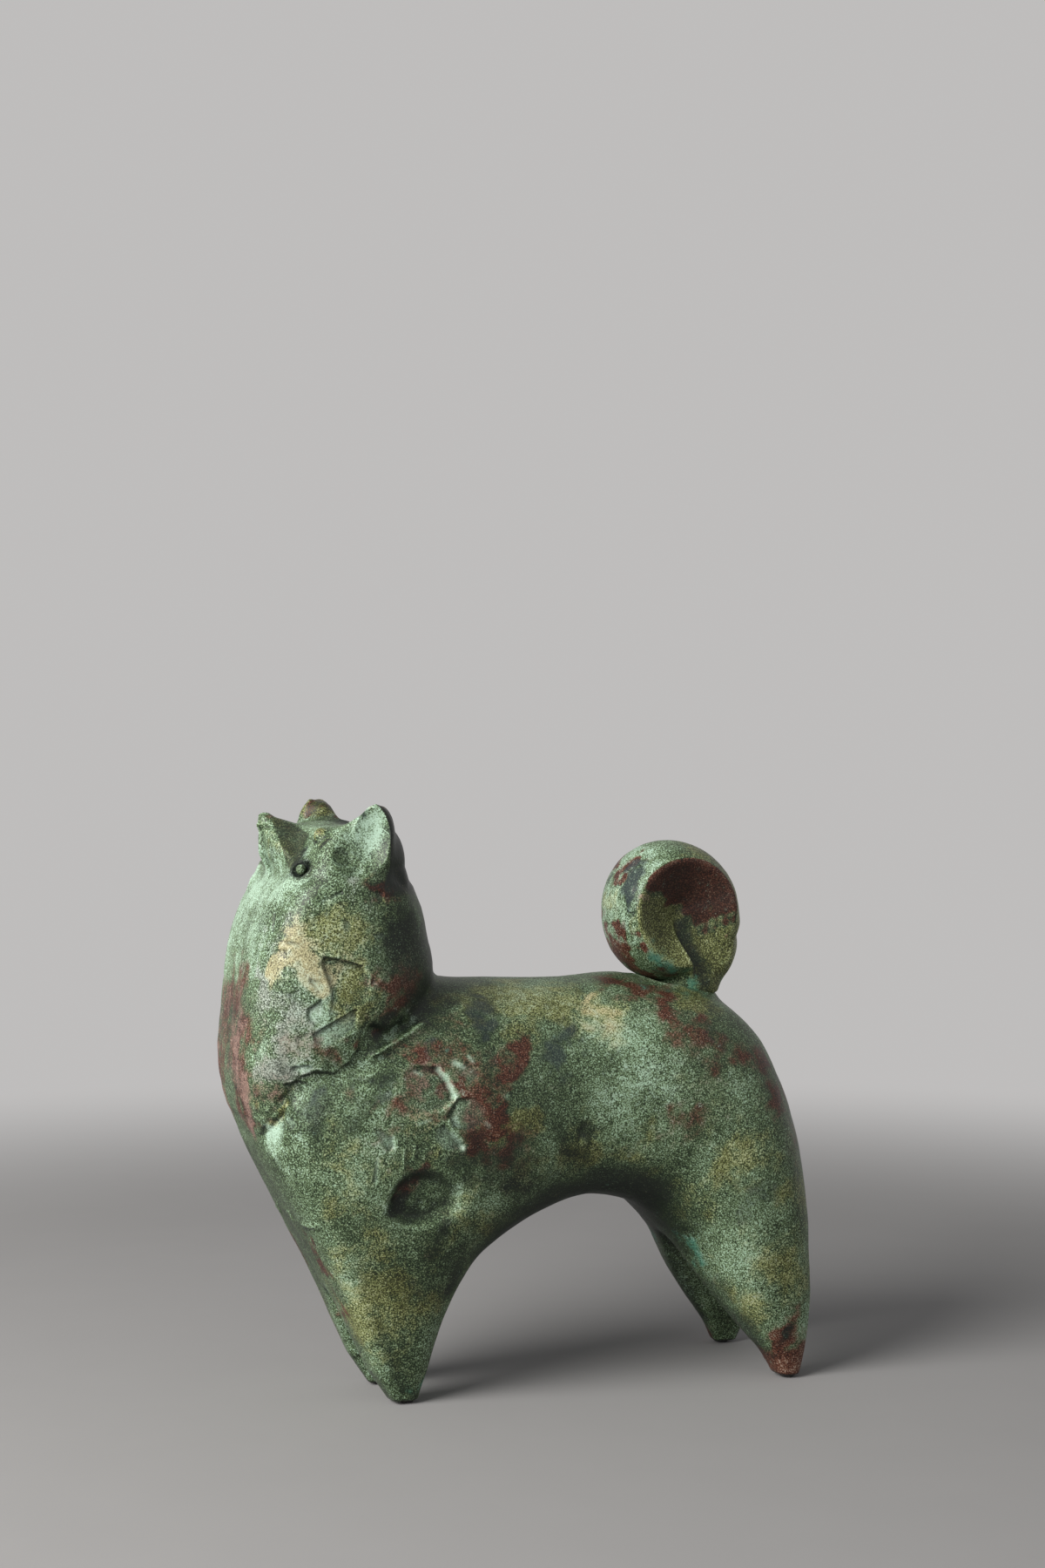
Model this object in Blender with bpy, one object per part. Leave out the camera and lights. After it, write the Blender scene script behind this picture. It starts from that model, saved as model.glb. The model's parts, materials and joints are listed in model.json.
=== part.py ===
"""Cast iron dog ornament: two hollow half castings closed on the middle plane, a separately cast curled tail,
and the screws, dowels, tail pin and foot discs that go with them. Metres, +Z up, head towards -X, origin on
the floor under the middle of the dog. The dog's left side is -Y."""

import math

import bmesh
import bpy
from mathutils import Matrix, Vector

# Fits and walls
SEAM_GAP = 0.0003
FIT_GAP = 0.0003
WALL = 0.0055

# Stance and outline, seen from the side
FRONT_FOOT_X = -0.0465
FRONT_FOOT_LENGTH = 0.0080
FRONT_TRACK = 0.0280
HIND_FOOT_X = 0.0890
HIND_FOOT_LENGTH = 0.0090
HIND_TRACK = 0.0545
FOOT_WIDTH = 0.0085
BELLY_HEIGHT = 0.0640
BACK_HEIGHT = 0.1390
CHEST_HEIGHT = 0.0970
CHEST_X = -0.1025
RUMP_X = 0.1025
FRONT_CROTCH_HEIGHT = 0.0380
HIND_CROTCH_HEIGHT = 0.0480

# Half widths, seen from the front
CHEST_HALF_WIDTH = 0.0380
WAIST_HALF_WIDTH = 0.0340
HAUNCH_HALF_WIDTH = 0.0380
MANE_HALF_WIDTH = 0.0385

# Head, set out from the chest line, the nape line and the brow
BROW_HEIGHT = 0.1935
NAPE_X = -0.0355
MUZZLE_SETBACK = 0.0150
MUZZLE_HALF_WIDTH = 0.0225
MOUTH_DROP = 0.0135
NOSE_REACH = 0.0045
NOSE_RISE = 0.0025
NOSE_WIDTH = 0.0060
EAR_RISE = 0.0070
EAR_SETBACK = 0.0275
EAR_SPREAD = 0.0700
EAR_SCOOP_RADIUS = 0.0105
EYE_RADIUS = 0.0032
EYE_SPREAD = 0.0300

# Tail curl, its root in the back and its tang inside
TAIL_X = 0.0571
TAIL_RADIUS = 0.0245
TAIL_FACE_RADIUS = 0.0190
TAIL_HALF_WIDTH = 0.0165
TAIL_SINK = 0.0012
TAIL_RIM = 0.0010
TAIL_HOLLOW_DEPTH = 0.0105
TAIL_ROOT_SETBACK = 0.0069
TAIL_ROOT_LENGTH = 0.0220
TAIL_ROOT_WIDTH = 0.0250
TAIL_ROOT_FLARE = 0.0045
TAIL_ROOT_DEPTH = 0.0060
TANG_LENGTH = 0.0090
TANG_WIDTH = 0.0080
TANG_DEPTH = 0.0130
TAIL_PIN_RADIUS = 0.0020
TAIL_PIN_LENGTH = 0.0240

# Screws, dowels and the bosses cast for them
SCREW_RADIUS = 0.0030
SCREW_HEAD_RADIUS = 0.0050
SCREW_HEAD_HEIGHT = 0.0039
SCREW_HEAD_SINK = 0.0030
SCREW_SLOT_WIDTH = 0.0016
SCREW_SLOT_DEPTH = 0.0018
SCREW_BITE = 0.0160
CHEST_SCREW_RISE = 0.0280
HAUNCH_SCREW_RISE = 0.0220
NECK_SCREW_RISE = 0.0190
DOWEL_RADIUS = 0.0025
DOWEL_LENGTH = 0.0160
CHEST_DOWEL_SETBACK = 0.0120
CHEST_DOWEL_RISE = 0.0130
BELLY_DOWEL_RISE = 0.0010
RUMP_DOWEL_SETBACK = 0.0130
RUMP_DOWEL_DROP = 0.0410
BOSS_WALL = 0.0035

# Foot discs
DISC_RADIUS = 0.0024
DISC_THICKNESS = 0.0014
DISC_PROUD = 0.0005

# Smoothness of the skinned shapes
SKIN_POINTS = 36
CORE_POINTS = 20


def between(start, end, share):
    return start + (end - start) * share


def along_back(share):
    return between(CHEST_X, RUMP_X, share)


def along_belly(share):
    """From the back edge of the front feet to the front edge of the hind feet."""
    return between(FRONT_FOOT_X + FRONT_FOOT_LENGTH / 2, HIND_FOOT_X - HIND_FOOT_LENGTH / 2, share)


def mouth_corner():
    return Vector((CHEST_X + MUZZLE_SETBACK, MUZZLE_HALF_WIDTH, BROW_HEIGHT - MOUTH_DROP))


def ear_tip():
    return Vector((NAPE_X - EAR_SETBACK, EAR_SPREAD / 2, BROW_HEIGHT + EAR_RISE))


def tail_centre():
    return Vector((TAIL_X, 0, BACK_HEIGHT - TAIL_SINK + TAIL_RADIUS))


def tail_root_x():
    return TAIL_X + TAIL_ROOT_SETBACK


def tang_bottom():
    return BACK_HEIGHT - TAIL_ROOT_DEPTH - TANG_DEPTH


def tail_pin_height():
    return tang_bottom() + TANG_DEPTH / 2


def screw_points():
    """Name, x, z and the half width of the dog at each screw."""
    return [
        ("chest_screw", along_back(0.295), BELLY_HEIGHT + CHEST_SCREW_RISE, CHEST_HALF_WIDTH),
        ("haunch_screw", along_back(0.850), BELLY_HEIGHT + HAUNCH_SCREW_RISE, HAUNCH_HALF_WIDTH),
        ("neck_screw", between(CHEST_X, NAPE_X, 0.5), BACK_HEIGHT + NECK_SCREW_RISE, MANE_HALF_WIDTH),
    ]


def dowel_points():
    return [
        ("chest_dowel", CHEST_X + CHEST_DOWEL_SETBACK, CHEST_HEIGHT + CHEST_DOWEL_RISE),
        ("belly_dowel", along_belly(0.51), BELLY_HEIGHT + WALL + BELLY_DOWEL_RISE),
        ("rump_dowel", RUMP_X - RUMP_DOWEL_SETBACK, BACK_HEIGHT - RUMP_DOWEL_DROP),
    ]


def foot_points():
    points = []
    for end, x, track in (("front", FRONT_FOOT_X, FRONT_TRACK), ("hind", HIND_FOOT_X, HIND_TRACK)):
        points.append((end + "_left_foot_disc", x, -track / 2))
        points.append((end + "_right_foot_disc", x, track / 2))
    return points


def clear_scene():
    for obj in list(bpy.data.objects):
        bpy.data.objects.remove(obj, do_unlink=True)


def make_collection(name):
    collection = bpy.data.collections.new(name)
    bpy.context.scene.collection.children.link(collection)
    return collection


def make_material(name, colour, roughness, metallic):
    material = bpy.data.materials.new(name)
    material.use_nodes = True
    shader = material.node_tree.nodes["Principled BSDF"]
    shader.inputs["Base Color"].default_value = (*colour, 1.0)
    shader.inputs["Roughness"].default_value = roughness
    shader.inputs["Metallic"].default_value = metallic
    return material


def add_object(name, mesh, collection):
    obj = bpy.data.objects.new(name, mesh)
    collection.objects.link(obj)
    return obj


def finish(obj, material, origin, location=(0, 0, 0)):
    obj.data.materials.clear()
    obj.data.materials.append(material)
    obj.location = location
    obj.parent = origin


def mesh_from(bm, name):
    bmesh.ops.recalc_face_normals(bm, faces=bm.faces)
    mesh = bpy.data.meshes.new(name)
    bm.to_mesh(mesh)
    bm.free()
    return mesh


class Workshop:
    """Joins one mesh to another or cuts it away, with the helper kept in the cutters' collection meanwhile."""

    def __init__(self, cutters):
        self.cutters = cutters

    def work(self, target, mesh, operation):
        helper = add_object("helper_" + mesh.name, mesh, self.cutters)
        helper.hide_render = True
        helper.display_type = "WIRE"
        step = target.modifiers.new(operation.lower(), "BOOLEAN")
        step.operation = operation
        step.object = helper
        bpy.context.view_layer.update()
        graph = bpy.context.evaluated_depsgraph_get()
        done = bpy.data.meshes.new_from_object(target.evaluated_get(graph))
        target.modifiers.clear()
        target.data = done
        bpy.data.objects.remove(helper)

    def join(self, target, mesh):
        self.work(target, mesh, "UNION")

    def cut(self, target, mesh):
        self.work(target, mesh, "DIFFERENCE")

    def keep(self, target, mesh):
        self.work(target, mesh, "INTERSECT")


def bar_mesh(name, radius, x, z, y_start, y_end, sides=20):
    """A round bar lying across the dog, along Y."""
    bm = bmesh.new()
    place = Matrix.Translation((x, (y_start + y_end) / 2, z)) @ Matrix.Rotation(math.radians(90), 4, "X")
    bmesh.ops.create_cone(bm, cap_ends=True, segments=sides, radius1=radius, radius2=radius,
                          depth=abs(y_end - y_start), matrix=place)
    return mesh_from(bm, name)


def disc_mesh(name, radius, x, y, z_low, z_high, sides=20):
    """A round disc lying on the floor."""
    bm = bmesh.new()
    bmesh.ops.create_cone(bm, cap_ends=True, segments=sides, radius1=radius, radius2=radius,
                          depth=z_high - z_low, matrix=Matrix.Translation((x, y, (z_low + z_high) / 2)))
    return mesh_from(bm, name)


def box_mesh(name, low, high):
    bm = bmesh.new()
    low, high = Vector(low), Vector(high)
    place = Matrix.Translation((low + high) / 2) @ Matrix.Diagonal((*(high - low), 1))
    bmesh.ops.create_cube(bm, size=1, matrix=place)
    return mesh_from(bm, name)


def ball_mesh(name, centre, radii, segments=20, rings=12):
    bm = bmesh.new()
    place = Matrix.Translation(centre) @ Matrix.Diagonal((*radii, 1))
    bmesh.ops.create_uvsphere(bm, u_segments=segments, v_segments=rings, radius=1, matrix=place)
    return mesh_from(bm, name)


def hull_mesh(name, points):
    bm = bmesh.new()
    for point in points:
        bm.verts.new(point)
    hull = bmesh.ops.convex_hull(bm, input=bm.verts)
    inside = [v for v in hull["geom_interior"] if isinstance(v, bmesh.types.BMVert)]
    bmesh.ops.delete(bm, geom=inside, context="VERTS")
    return mesh_from(bm, name)


def spline(values, steps):
    """A smooth run through a list of equal-length tuples, with steps points to each span."""
    points = []
    last = len(values) - 1
    for span in range(last):
        before = values[max(span - 1, 0)]
        start, end = values[span], values[span + 1]
        after = values[min(span + 2, last)]
        for step in range(steps):
            t = step / steps
            points.append(tuple(
                0.5 * (2 * b + (c - a) * t + (2 * a - 5 * b + 4 * c - d) * t * t
                       + (3 * b - a - 3 * c + d) * t ** 3)
                for a, b, c, d in zip(before, start, end, after)))
    points.append(values[last])
    return points


def section_ring(station, count):
    """A closed ring across the body: an oval whose outer and inner halves have their own squareness."""
    outer_x, outer_z, inner_x, inner_z, half_width, outer_power, inner_power = station
    centre = Vector(((outer_x + inner_x) / 2, 0, (outer_z + inner_z) / 2))
    reach = Vector(((outer_x - inner_x) / 2, 0, (outer_z - inner_z) / 2))
    ring = []
    for i in range(count):
        angle = 2 * math.pi * (i + 0.5) / count
        along, across = math.sin(angle), math.cos(angle)
        power = outer_power if along > 0 else inner_power
        along = math.copysign(abs(along) ** (2 / power), along)
        across = math.copysign(abs(across) ** (2 / power), across)
        ring.append(centre + reach * along + Vector((0, half_width * across, 0)))
    return ring


def loft(name, stations, steps, count):
    """A closed skin over sections of changing size and squareness."""
    bm = bmesh.new()
    rings = [[bm.verts.new(p) for p in section_ring(s, count)] for s in spline(stations, steps)]
    for lower, upper in zip(rings, rings[1:]):
        for i in range(count):
            j = (i + 1) % count
            bm.faces.new((lower[i], lower[j], upper[j], upper[i]))
    bm.faces.new(rings[0])
    bm.faces.new(rings[-1])
    return mesh_from(bm, name)


def drawn_in(stations, amount):
    """The same sections drawn in by amount on every side."""
    drawn = []
    for outer_x, outer_z, inner_x, inner_z, half_width, outer_power, inner_power in stations:
        outer, inner = Vector((outer_x, outer_z)), Vector((inner_x, inner_z))
        step = (outer - inner).normalized() * amount
        drawn.append((*(outer - step), *(inner + step), half_width - amount, outer_power, inner_power))
    return drawn


def body_stations():
    """Sections from the front feet up the legs, along the back and down to the hind feet. Each gives the outer
    point, the belly point, the half width and how square the outer and belly halves are."""
    front_toe = FRONT_FOOT_X - FRONT_FOOT_LENGTH / 2
    front_heel = FRONT_FOOT_X + FRONT_FOOT_LENGTH / 2
    hind_toe = HIND_FOOT_X - HIND_FOOT_LENGTH / 2
    hind_heel = HIND_FOOT_X + HIND_FOOT_LENGTH / 2
    front_half = (FRONT_TRACK + FOOT_WIDTH) / 2
    hind_half = (HIND_TRACK + FOOT_WIDTH) / 2
    chest, waist, haunch = CHEST_HALF_WIDTH, WAIST_HALF_WIDTH, HAUNCH_HALF_WIDTH
    back, breast, belly, sole = BACK_HEIGHT, CHEST_HEIGHT, BELLY_HEIGHT, DISC_PROUD
    top, under = along_back, along_belly
    return [
        (front_toe, sole, front_heel, sole, front_half, 5.0, 5.0),
        (front_toe - 0.0080, breast * 0.165, front_heel + 0.0045, belly * 0.19, front_half + 0.003, 4.5, 4.2),
        (CHEST_X + 0.0300, breast * 0.464, under(0.083), belly * 0.453, chest - 0.011, 4.0, 3.4),
        (CHEST_X + 0.0145, breast * 0.753, under(0.161), belly * 0.695, chest - 0.005, 3.4, 2.9),
        (CHEST_X + 0.0030, breast, under(0.276), belly * 0.86, chest - 0.001, 3.1, 2.6),
        (CHEST_X + 0.0060, between(breast, back, 0.55), under(0.386), belly - 0.003, chest, 2.7, 2.5),
        (top(0.244), back, under(0.449), belly - 0.0005, chest, 2.4, 2.5),
        (top(0.424), back + 0.001, under(0.488), belly, waist + 0.0005, 2.3, 2.5),
        (top(0.580), back, under(0.520), belly, waist, 2.3, 2.5),
        (top(0.741), back, under(0.575), belly - 0.001, waist + 0.002, 2.3, 2.5),
        (top(0.868), back - 0.010, under(0.646), belly - 0.004, haunch - 0.001, 2.3, 2.5),
        (RUMP_X - 0.0110, back - 0.030, under(0.700), belly - 0.010, haunch, 2.4, 2.5),
        (RUMP_X - 0.0030, back * 0.62, under(0.756), belly * 0.72, haunch, 2.5, 2.7),
        (RUMP_X, back * 0.43, under(0.811), belly * 0.53, haunch - 0.001, 2.7, 3.0),
        (RUMP_X - 0.0020, back * 0.245, under(0.882), belly * 0.33, haunch - 0.003, 3.4, 3.6),
        (hind_heel + 0.0040, back * 0.086, hind_toe - 0.0050, belly * 0.14, hind_half + 0.001, 4.5, 4.5),
        (hind_heel, sole, hind_toe, sole, hind_half, 5.0, 5.0),
    ]


def mane_stations():
    """Sections from inside the chest up to the brow: bib point, nape point, half width and squareness."""
    mane = MANE_HALF_WIDTH
    shape = [
        (0.0080, -0.07, -0.0120, -0.50, 0.0120, 3.4),
        (0.0015, 0.07, -0.0040, -0.20, 0.0060, 3.4),
        (0.0000, 0.25, 0.0000, 0.11, 0.0015, 3.4),
        (0.0015, 0.435, -0.0035, 0.35, 0.0000, 3.4),
        (0.0040, 0.59, -0.0085, 0.55, 0.0000, 3.3),
        (0.0090, 0.725, -0.0125, 0.715, 0.0005, 3.2),
        (0.0140, 0.84, -0.0155, 0.845, 0.0015, 3.0),
        (0.0190, 0.935, -0.0175, 0.935, 0.0035, 2.8),
        (0.0230, 1.0, -0.0200, 1.0, 0.0065, 2.6),
    ]
    return [
        (CHEST_X + bib, between(CHEST_HEIGHT, BROW_HEIGHT, bib_rise),
         NAPE_X + nape, between(BACK_HEIGHT, BROW_HEIGHT, nape_rise), mane - narrower, square, 2.2)
        for bib, bib_rise, nape, nape_rise, narrower, square in shape
    ]


def muzzle_mesh():
    """The upturned muzzle: a wedge from the mouth corners up to the nose, its bridge running back to the brow."""
    corner = mouth_corner()
    nose_x, nose_top = corner.x - NOSE_REACH, BROW_HEIGHT + NOSE_RISE
    points = []
    for side in (-1, 1):
        half, wide = side * NOSE_WIDTH / 2, side * corner.y
        points += [
            (nose_x, half, nose_top - 0.003),
            (nose_x + 0.001, half * 0.8, nose_top),
            (nose_x + 0.005, half * 0.8, nose_top),
            (corner.x, wide, corner.z),
            (corner.x + 0.002, wide, corner.z - 0.008),
            (corner.x + 0.018, wide, corner.z - 0.004),
            (corner.x + 0.012, half, BROW_HEIGHT - 0.003),
            (corner.x + 0.030, half, BROW_HEIGHT - 0.007),
        ]
    return hull_mesh("muzzle", points)


def ear_mesh(side):
    """A peaked ear on the rear corner of the head, its back flowing down into the nape."""
    x, y, z = ear_tip()
    points = [
        (x, y, z),
        (x + 0.0020, y - 0.0030, z),
        (x + 0.0060, y - 0.0040, z - 0.0040),
        (x - 0.0130, y - 0.0040, BROW_HEIGHT - 0.0010),
        (x - 0.0040, y - 0.0180, BROW_HEIGHT),
        (x + 0.0090, y - 0.0160, BROW_HEIGHT - 0.0010),
        (x + 0.0045, y + 0.0020, z - 0.0180),
        (x + 0.0110, y - 0.0060, z - 0.0180),
        (x - 0.0120, y + 0.0005, z - 0.0220),
        (x - 0.0010, y - 0.0010, z - 0.0300),
        (x + 0.0040, y - 0.0200, z - 0.0340),
    ]
    return hull_mesh("ear", [(px, side * py, pz) for px, py, pz in points])


def crotch_mesh(name, x_front, x_back, half_width, height):
    """The gap between a pair of legs, seen from the front as a rounded upturned V."""
    steps = 8
    side = []
    for i in range(steps + 1):
        z = height * (1 - (1 - i / steps) ** 2)
        side.append((half_width * (1 - z / height) ** 0.7, z))
    outline = [(half_width, -0.01)] + side + [(-y, z) for y, z in reversed(side[:-1])] + [(-half_width, -0.01)]
    bm = bmesh.new()
    face = bm.faces.new([bm.verts.new((x_front, y, z)) for y, z in outline])
    grown = bmesh.ops.extrude_face_region(bm, geom=[face])
    moved = [v for v in grown["geom"] if isinstance(v, bmesh.types.BMVert)]
    bmesh.ops.translate(bm, verts=moved, vec=(x_back - x_front, 0, 0))
    return mesh_from(bm, name)


def full_body(shop):
    """The whole figure without its tail, solid, as a pattern maker would carve it."""
    body = add_object("body", loft("body", body_stations(), 4, SKIN_POINTS), shop.cutters)
    shop.join(body, loft("mane", mane_stations(), 3, SKIN_POINTS))
    shop.join(body, muzzle_mesh())
    tip = ear_tip()
    radius = EAR_SCOOP_RADIUS
    for side in (-1, 1):
        shop.join(body, ear_mesh(side))
        eye = (mouth_corner().x + 0.0120, side * EYE_SPREAD / 2, BROW_HEIGHT - 0.0030)
        shop.join(body, ball_mesh("eye", eye, (EYE_RADIUS, EYE_RADIUS, EYE_RADIUS), 12, 8))
        scoop = (tip.x - 0.0070, side * (tip.y + 0.0055), tip.z - 0.0100)
        shop.cut(body, ball_mesh("ear_scoop", scoop, (radius, radius, radius * 1.5)))
    shop.cut(body, ball_mesh("crown_dish", (tip.x + 0.0040, 0, BROW_HEIGHT + 0.0190), (0.0200, 0.0230, 0.0210)))
    front_half = (FRONT_TRACK - FOOT_WIDTH) / 2
    hind_half = (HIND_TRACK - FOOT_WIDTH) / 2
    shop.cut(body, crotch_mesh("front_crotch", CHEST_X, along_belly(0.32), front_half, FRONT_CROTCH_HEIGHT))
    shop.cut(body, crotch_mesh("hind_crotch", along_belly(0.67), RUMP_X + 0.01, hind_half, HIND_CROTCH_HEIGHT))
    return body


def core_mesh(shop):
    """The sand core: the room inside, less the pillars for screws and dowels and the block under the tail."""
    core = add_object("core", loft("body_core", drawn_in(body_stations()[4:13], WALL), 2, CORE_POINTS), shop.cutters)
    shop.join(core, loft("neck_core", drawn_in(mane_stations()[1:7], WALL), 2, CORE_POINTS))
    for name, x, z, half_width in screw_points():
        shop.cut(core, bar_mesh("pillar", SCREW_HEAD_RADIUS + BOSS_WALL, x, z, -half_width, half_width))
    for name, x, z in dowel_points():
        depth = DOWEL_LENGTH / 2 + FIT_GAP + BOSS_WALL
        shop.cut(core, bar_mesh("dowel_boss", DOWEL_RADIUS + FIT_GAP + BOSS_WALL, x, z, -depth, depth))
    reach = TAIL_PIN_LENGTH / 2 + FIT_GAP + BOSS_WALL
    half_length = TAIL_ROOT_LENGTH / 2 + FIT_GAP + BOSS_WALL
    low = tang_bottom() - FIT_GAP - BOSS_WALL
    shop.cut(core, box_mesh("tail_block", (tail_root_x() - half_length, -reach, low),
                            (tail_root_x() + half_length, reach, BACK_HEIGHT)))
    mesh = core.data
    mesh.name = "core"
    bpy.data.objects.remove(core)
    return mesh


def curl_mesh(clearance):
    """The barrel of the curl, turned about a line across the dog."""
    radius, face = TAIL_RADIUS + clearance, TAIL_FACE_RADIUS + clearance
    half = TAIL_HALF_WIDTH + clearance
    steps = 8
    bm = bmesh.new()
    profile = [bm.verts.new((0, -half, 0))]
    for i in range(2 * steps + 1):
        across = i / steps - 1
        profile.append(bm.verts.new((face + (radius - face) * (1 - across * across), half * across, 0)))
    profile.append(bm.verts.new((0, half, 0)))
    for start, end in zip(profile, profile[1:]):
        bm.edges.new((start, end))
    bmesh.ops.spin(bm, geom=bm.verts[:] + bm.edges[:], cent=(0, 0, 0), axis=(0, 1, 0),
                   angle=2 * math.pi, steps=40)
    bmesh.ops.remove_doubles(bm, verts=bm.verts, dist=0.00001)
    bmesh.ops.translate(bm, verts=bm.verts, vec=tail_centre())
    return mesh_from(bm, "curl")


def root_mesh(clearance):
    """The tail root: an oval stem, wider at the top, from inside the curl down into its seat in the back."""
    low, high = BACK_HEIGHT - TAIL_ROOT_DEPTH - clearance, tail_centre().z
    half_length, half_width = TAIL_ROOT_LENGTH / 2 + clearance, TAIL_ROOT_WIDTH / 2 + clearance
    points = []
    for i in range(24):
        along, across = math.cos(math.pi * i / 12), math.sin(math.pi * i / 12)
        points.append((tail_root_x() + half_length * along, half_width * across, low))
        points.append((tail_root_x() + (half_length + TAIL_ROOT_FLARE) * along, half_width * across, high))
    return hull_mesh("root", points)


def tang_mesh(clearance):
    half_length, half_width = TANG_LENGTH / 2 + clearance, TANG_WIDTH / 2 + clearance
    return box_mesh("tang", (tail_root_x() - half_length, -half_width, tang_bottom() - clearance),
                    (tail_root_x() + half_length, half_width, BACK_HEIGHT))


def tail_mesh(shop, clearance):
    """Curl, root and tang in one, or with a clearance the room that they need in the back."""
    tail = add_object("tail_solid", curl_mesh(clearance), shop.cutters)
    shop.join(tail, root_mesh(clearance))
    shop.join(tail, tang_mesh(clearance))
    mesh = tail.data
    mesh.name = "tail_room"
    bpy.data.objects.remove(tail)
    return mesh


def hollow_mesh(side):
    """The cone sunk into one face of the curl, carried on a little past the face."""
    past = 1.2
    depth = TAIL_HOLLOW_DEPTH * past
    mouth = (TAIL_FACE_RADIUS - TAIL_RIM) * past
    middle = tail_centre() + Vector((0, side * (TAIL_HALF_WIDTH - TAIL_HOLLOW_DEPTH + depth / 2), 0))
    bm = bmesh.new()
    place = Matrix.Translation(middle) @ Matrix.Rotation(side * math.radians(90), 4, "X")
    bmesh.ops.create_cone(bm, cap_ends=True, segments=36, radius1=mouth, radius2=0, depth=depth, matrix=place)
    return mesh_from(bm, "hollow")


def make_tail(shop, dog):
    tail = add_object("tail_casting", tail_mesh(shop, 0), dog)
    for side in (-1, 1):
        shop.cut(tail, hollow_mesh(side))
    half = TANG_WIDTH / 2 + 0.01
    shop.cut(tail, bar_mesh("pin_hole", TAIL_PIN_RADIUS + FIT_GAP, tail_root_x(), tail_pin_height(), -half, half))
    return tail


def drill_half(shop, half, side):
    """Clearance holes and sunk head seats on the right, blind holes on the left, dowel and pin holes on both."""
    past = 0.01
    for name, x, z, half_width in screw_points():
        hole = SCREW_RADIUS + FIT_GAP
        if side > 0:
            seat = half_width - SCREW_HEAD_SINK - SCREW_HEAD_HEIGHT - FIT_GAP
            shop.cut(half, bar_mesh("screw_hole", hole, x, z, -past, half_width))
            shop.cut(half, bar_mesh("head_seat", SCREW_HEAD_RADIUS + FIT_GAP, x, z, seat, half_width + past))
        else:
            shop.cut(half, bar_mesh("screw_hole", hole, x, z, past, -SCREW_BITE - FIT_GAP))
    for name, x, z in dowel_points():
        depth = DOWEL_LENGTH / 2 + FIT_GAP
        shop.cut(half, bar_mesh("dowel_hole", DOWEL_RADIUS + FIT_GAP, x, z, -side * past, side * depth))
    reach = TAIL_PIN_LENGTH / 2 + FIT_GAP
    shop.cut(half, bar_mesh("pin_hole", TAIL_PIN_RADIUS + FIT_GAP, tail_root_x(), tail_pin_height(),
                            -side * past, side * reach))
    for name, x, y in foot_points():
        if y * side > 0:
            top = DISC_THICKNESS + FIT_GAP
            shop.cut(half, disc_mesh("disc_seat", DISC_RADIUS + FIT_GAP, x, y, -past, top))


def make_halves(shop, dog):
    """The cored figure parted on the middle plane into a left and a right casting."""
    body = full_body(shop)
    shop.cut(body, core_mesh(shop))
    shop.cut(body, tail_mesh(shop, FIT_GAP))
    halves = []
    for name, side in (("left_body_casting", -1), ("right_body_casting", 1)):
        half = add_object(name, body.data.copy(), dog)
        near, far = sorted((side * SEAM_GAP / 2, side * 0.2))
        shop.keep(half, box_mesh("side", (-0.3, near, -0.1), (0.3, far, 0.4)))
        drill_half(shop, half, side)
        halves.append(half)
    bpy.data.objects.remove(body)
    return halves


def make_screw(shop, dog, name, half_width):
    """A slotted cheese-head screw put in from the right, its point in the left casting."""
    top = half_width - SCREW_HEAD_SINK
    under = top - SCREW_HEAD_HEIGHT
    screw = add_object(name, bar_mesh(name, SCREW_RADIUS, 0, 0, -SCREW_BITE, under + SCREW_HEAD_HEIGHT / 2), dog)
    shop.join(screw, bar_mesh("head", SCREW_HEAD_RADIUS, 0, 0, under, top))
    half, past = SCREW_SLOT_WIDTH / 2, 2 * SCREW_HEAD_RADIUS
    shop.cut(screw, box_mesh("slot", (-past, top - SCREW_SLOT_DEPTH, -half), (past, top + past, half)))
    return screw


def main():
    clear_scene()
    dog = make_collection("cast_iron_dog")
    shop = Workshop(make_collection("cutters"))
    origin = add_object("dog_origin", None, dog)
    left_iron = make_material("left_body_iron", (0.20, 0.27, 0.19), 0.55, 0.6)
    right_iron = make_material("right_body_iron", (0.20, 0.27, 0.19), 0.55, 0.6)
    tail_iron = make_material("tail_iron", (0.19, 0.24, 0.16), 0.50, 0.6)
    screw_steel = make_material("screw_steel", (0.40, 0.40, 0.38), 0.40, 1.0)
    pin_steel = make_material("pin_steel", (0.55, 0.55, 0.54), 0.30, 1.0)
    rubber = make_material("disc_rubber", (0.03, 0.03, 0.03), 0.80, 0.0)

    left, right = make_halves(shop, dog)
    finish(left, left_iron, origin)
    finish(right, right_iron, origin)
    finish(make_tail(shop, dog), tail_iron, origin)
    for name, x, z, half_width in screw_points():
        finish(make_screw(shop, dog, name, half_width), screw_steel, origin, (x, 0, z))
    for name, x, z in dowel_points():
        dowel = add_object(name, bar_mesh(name, DOWEL_RADIUS, 0, 0, -DOWEL_LENGTH / 2, DOWEL_LENGTH / 2), dog)
        finish(dowel, pin_steel, origin, (x, 0, z))
    pin = bar_mesh("tail_pin", TAIL_PIN_RADIUS, 0, 0, -TAIL_PIN_LENGTH / 2, TAIL_PIN_LENGTH / 2)
    finish(add_object("tail_pin", pin, dog), pin_steel, origin, (tail_root_x(), 0, tail_pin_height()))
    for name, x, y in foot_points():
        disc = add_object(name, disc_mesh(name, DISC_RADIUS, 0, 0, 0, DISC_THICKNESS), dog)
        finish(disc, rubber, origin, (x, y, 0))


main()
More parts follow.
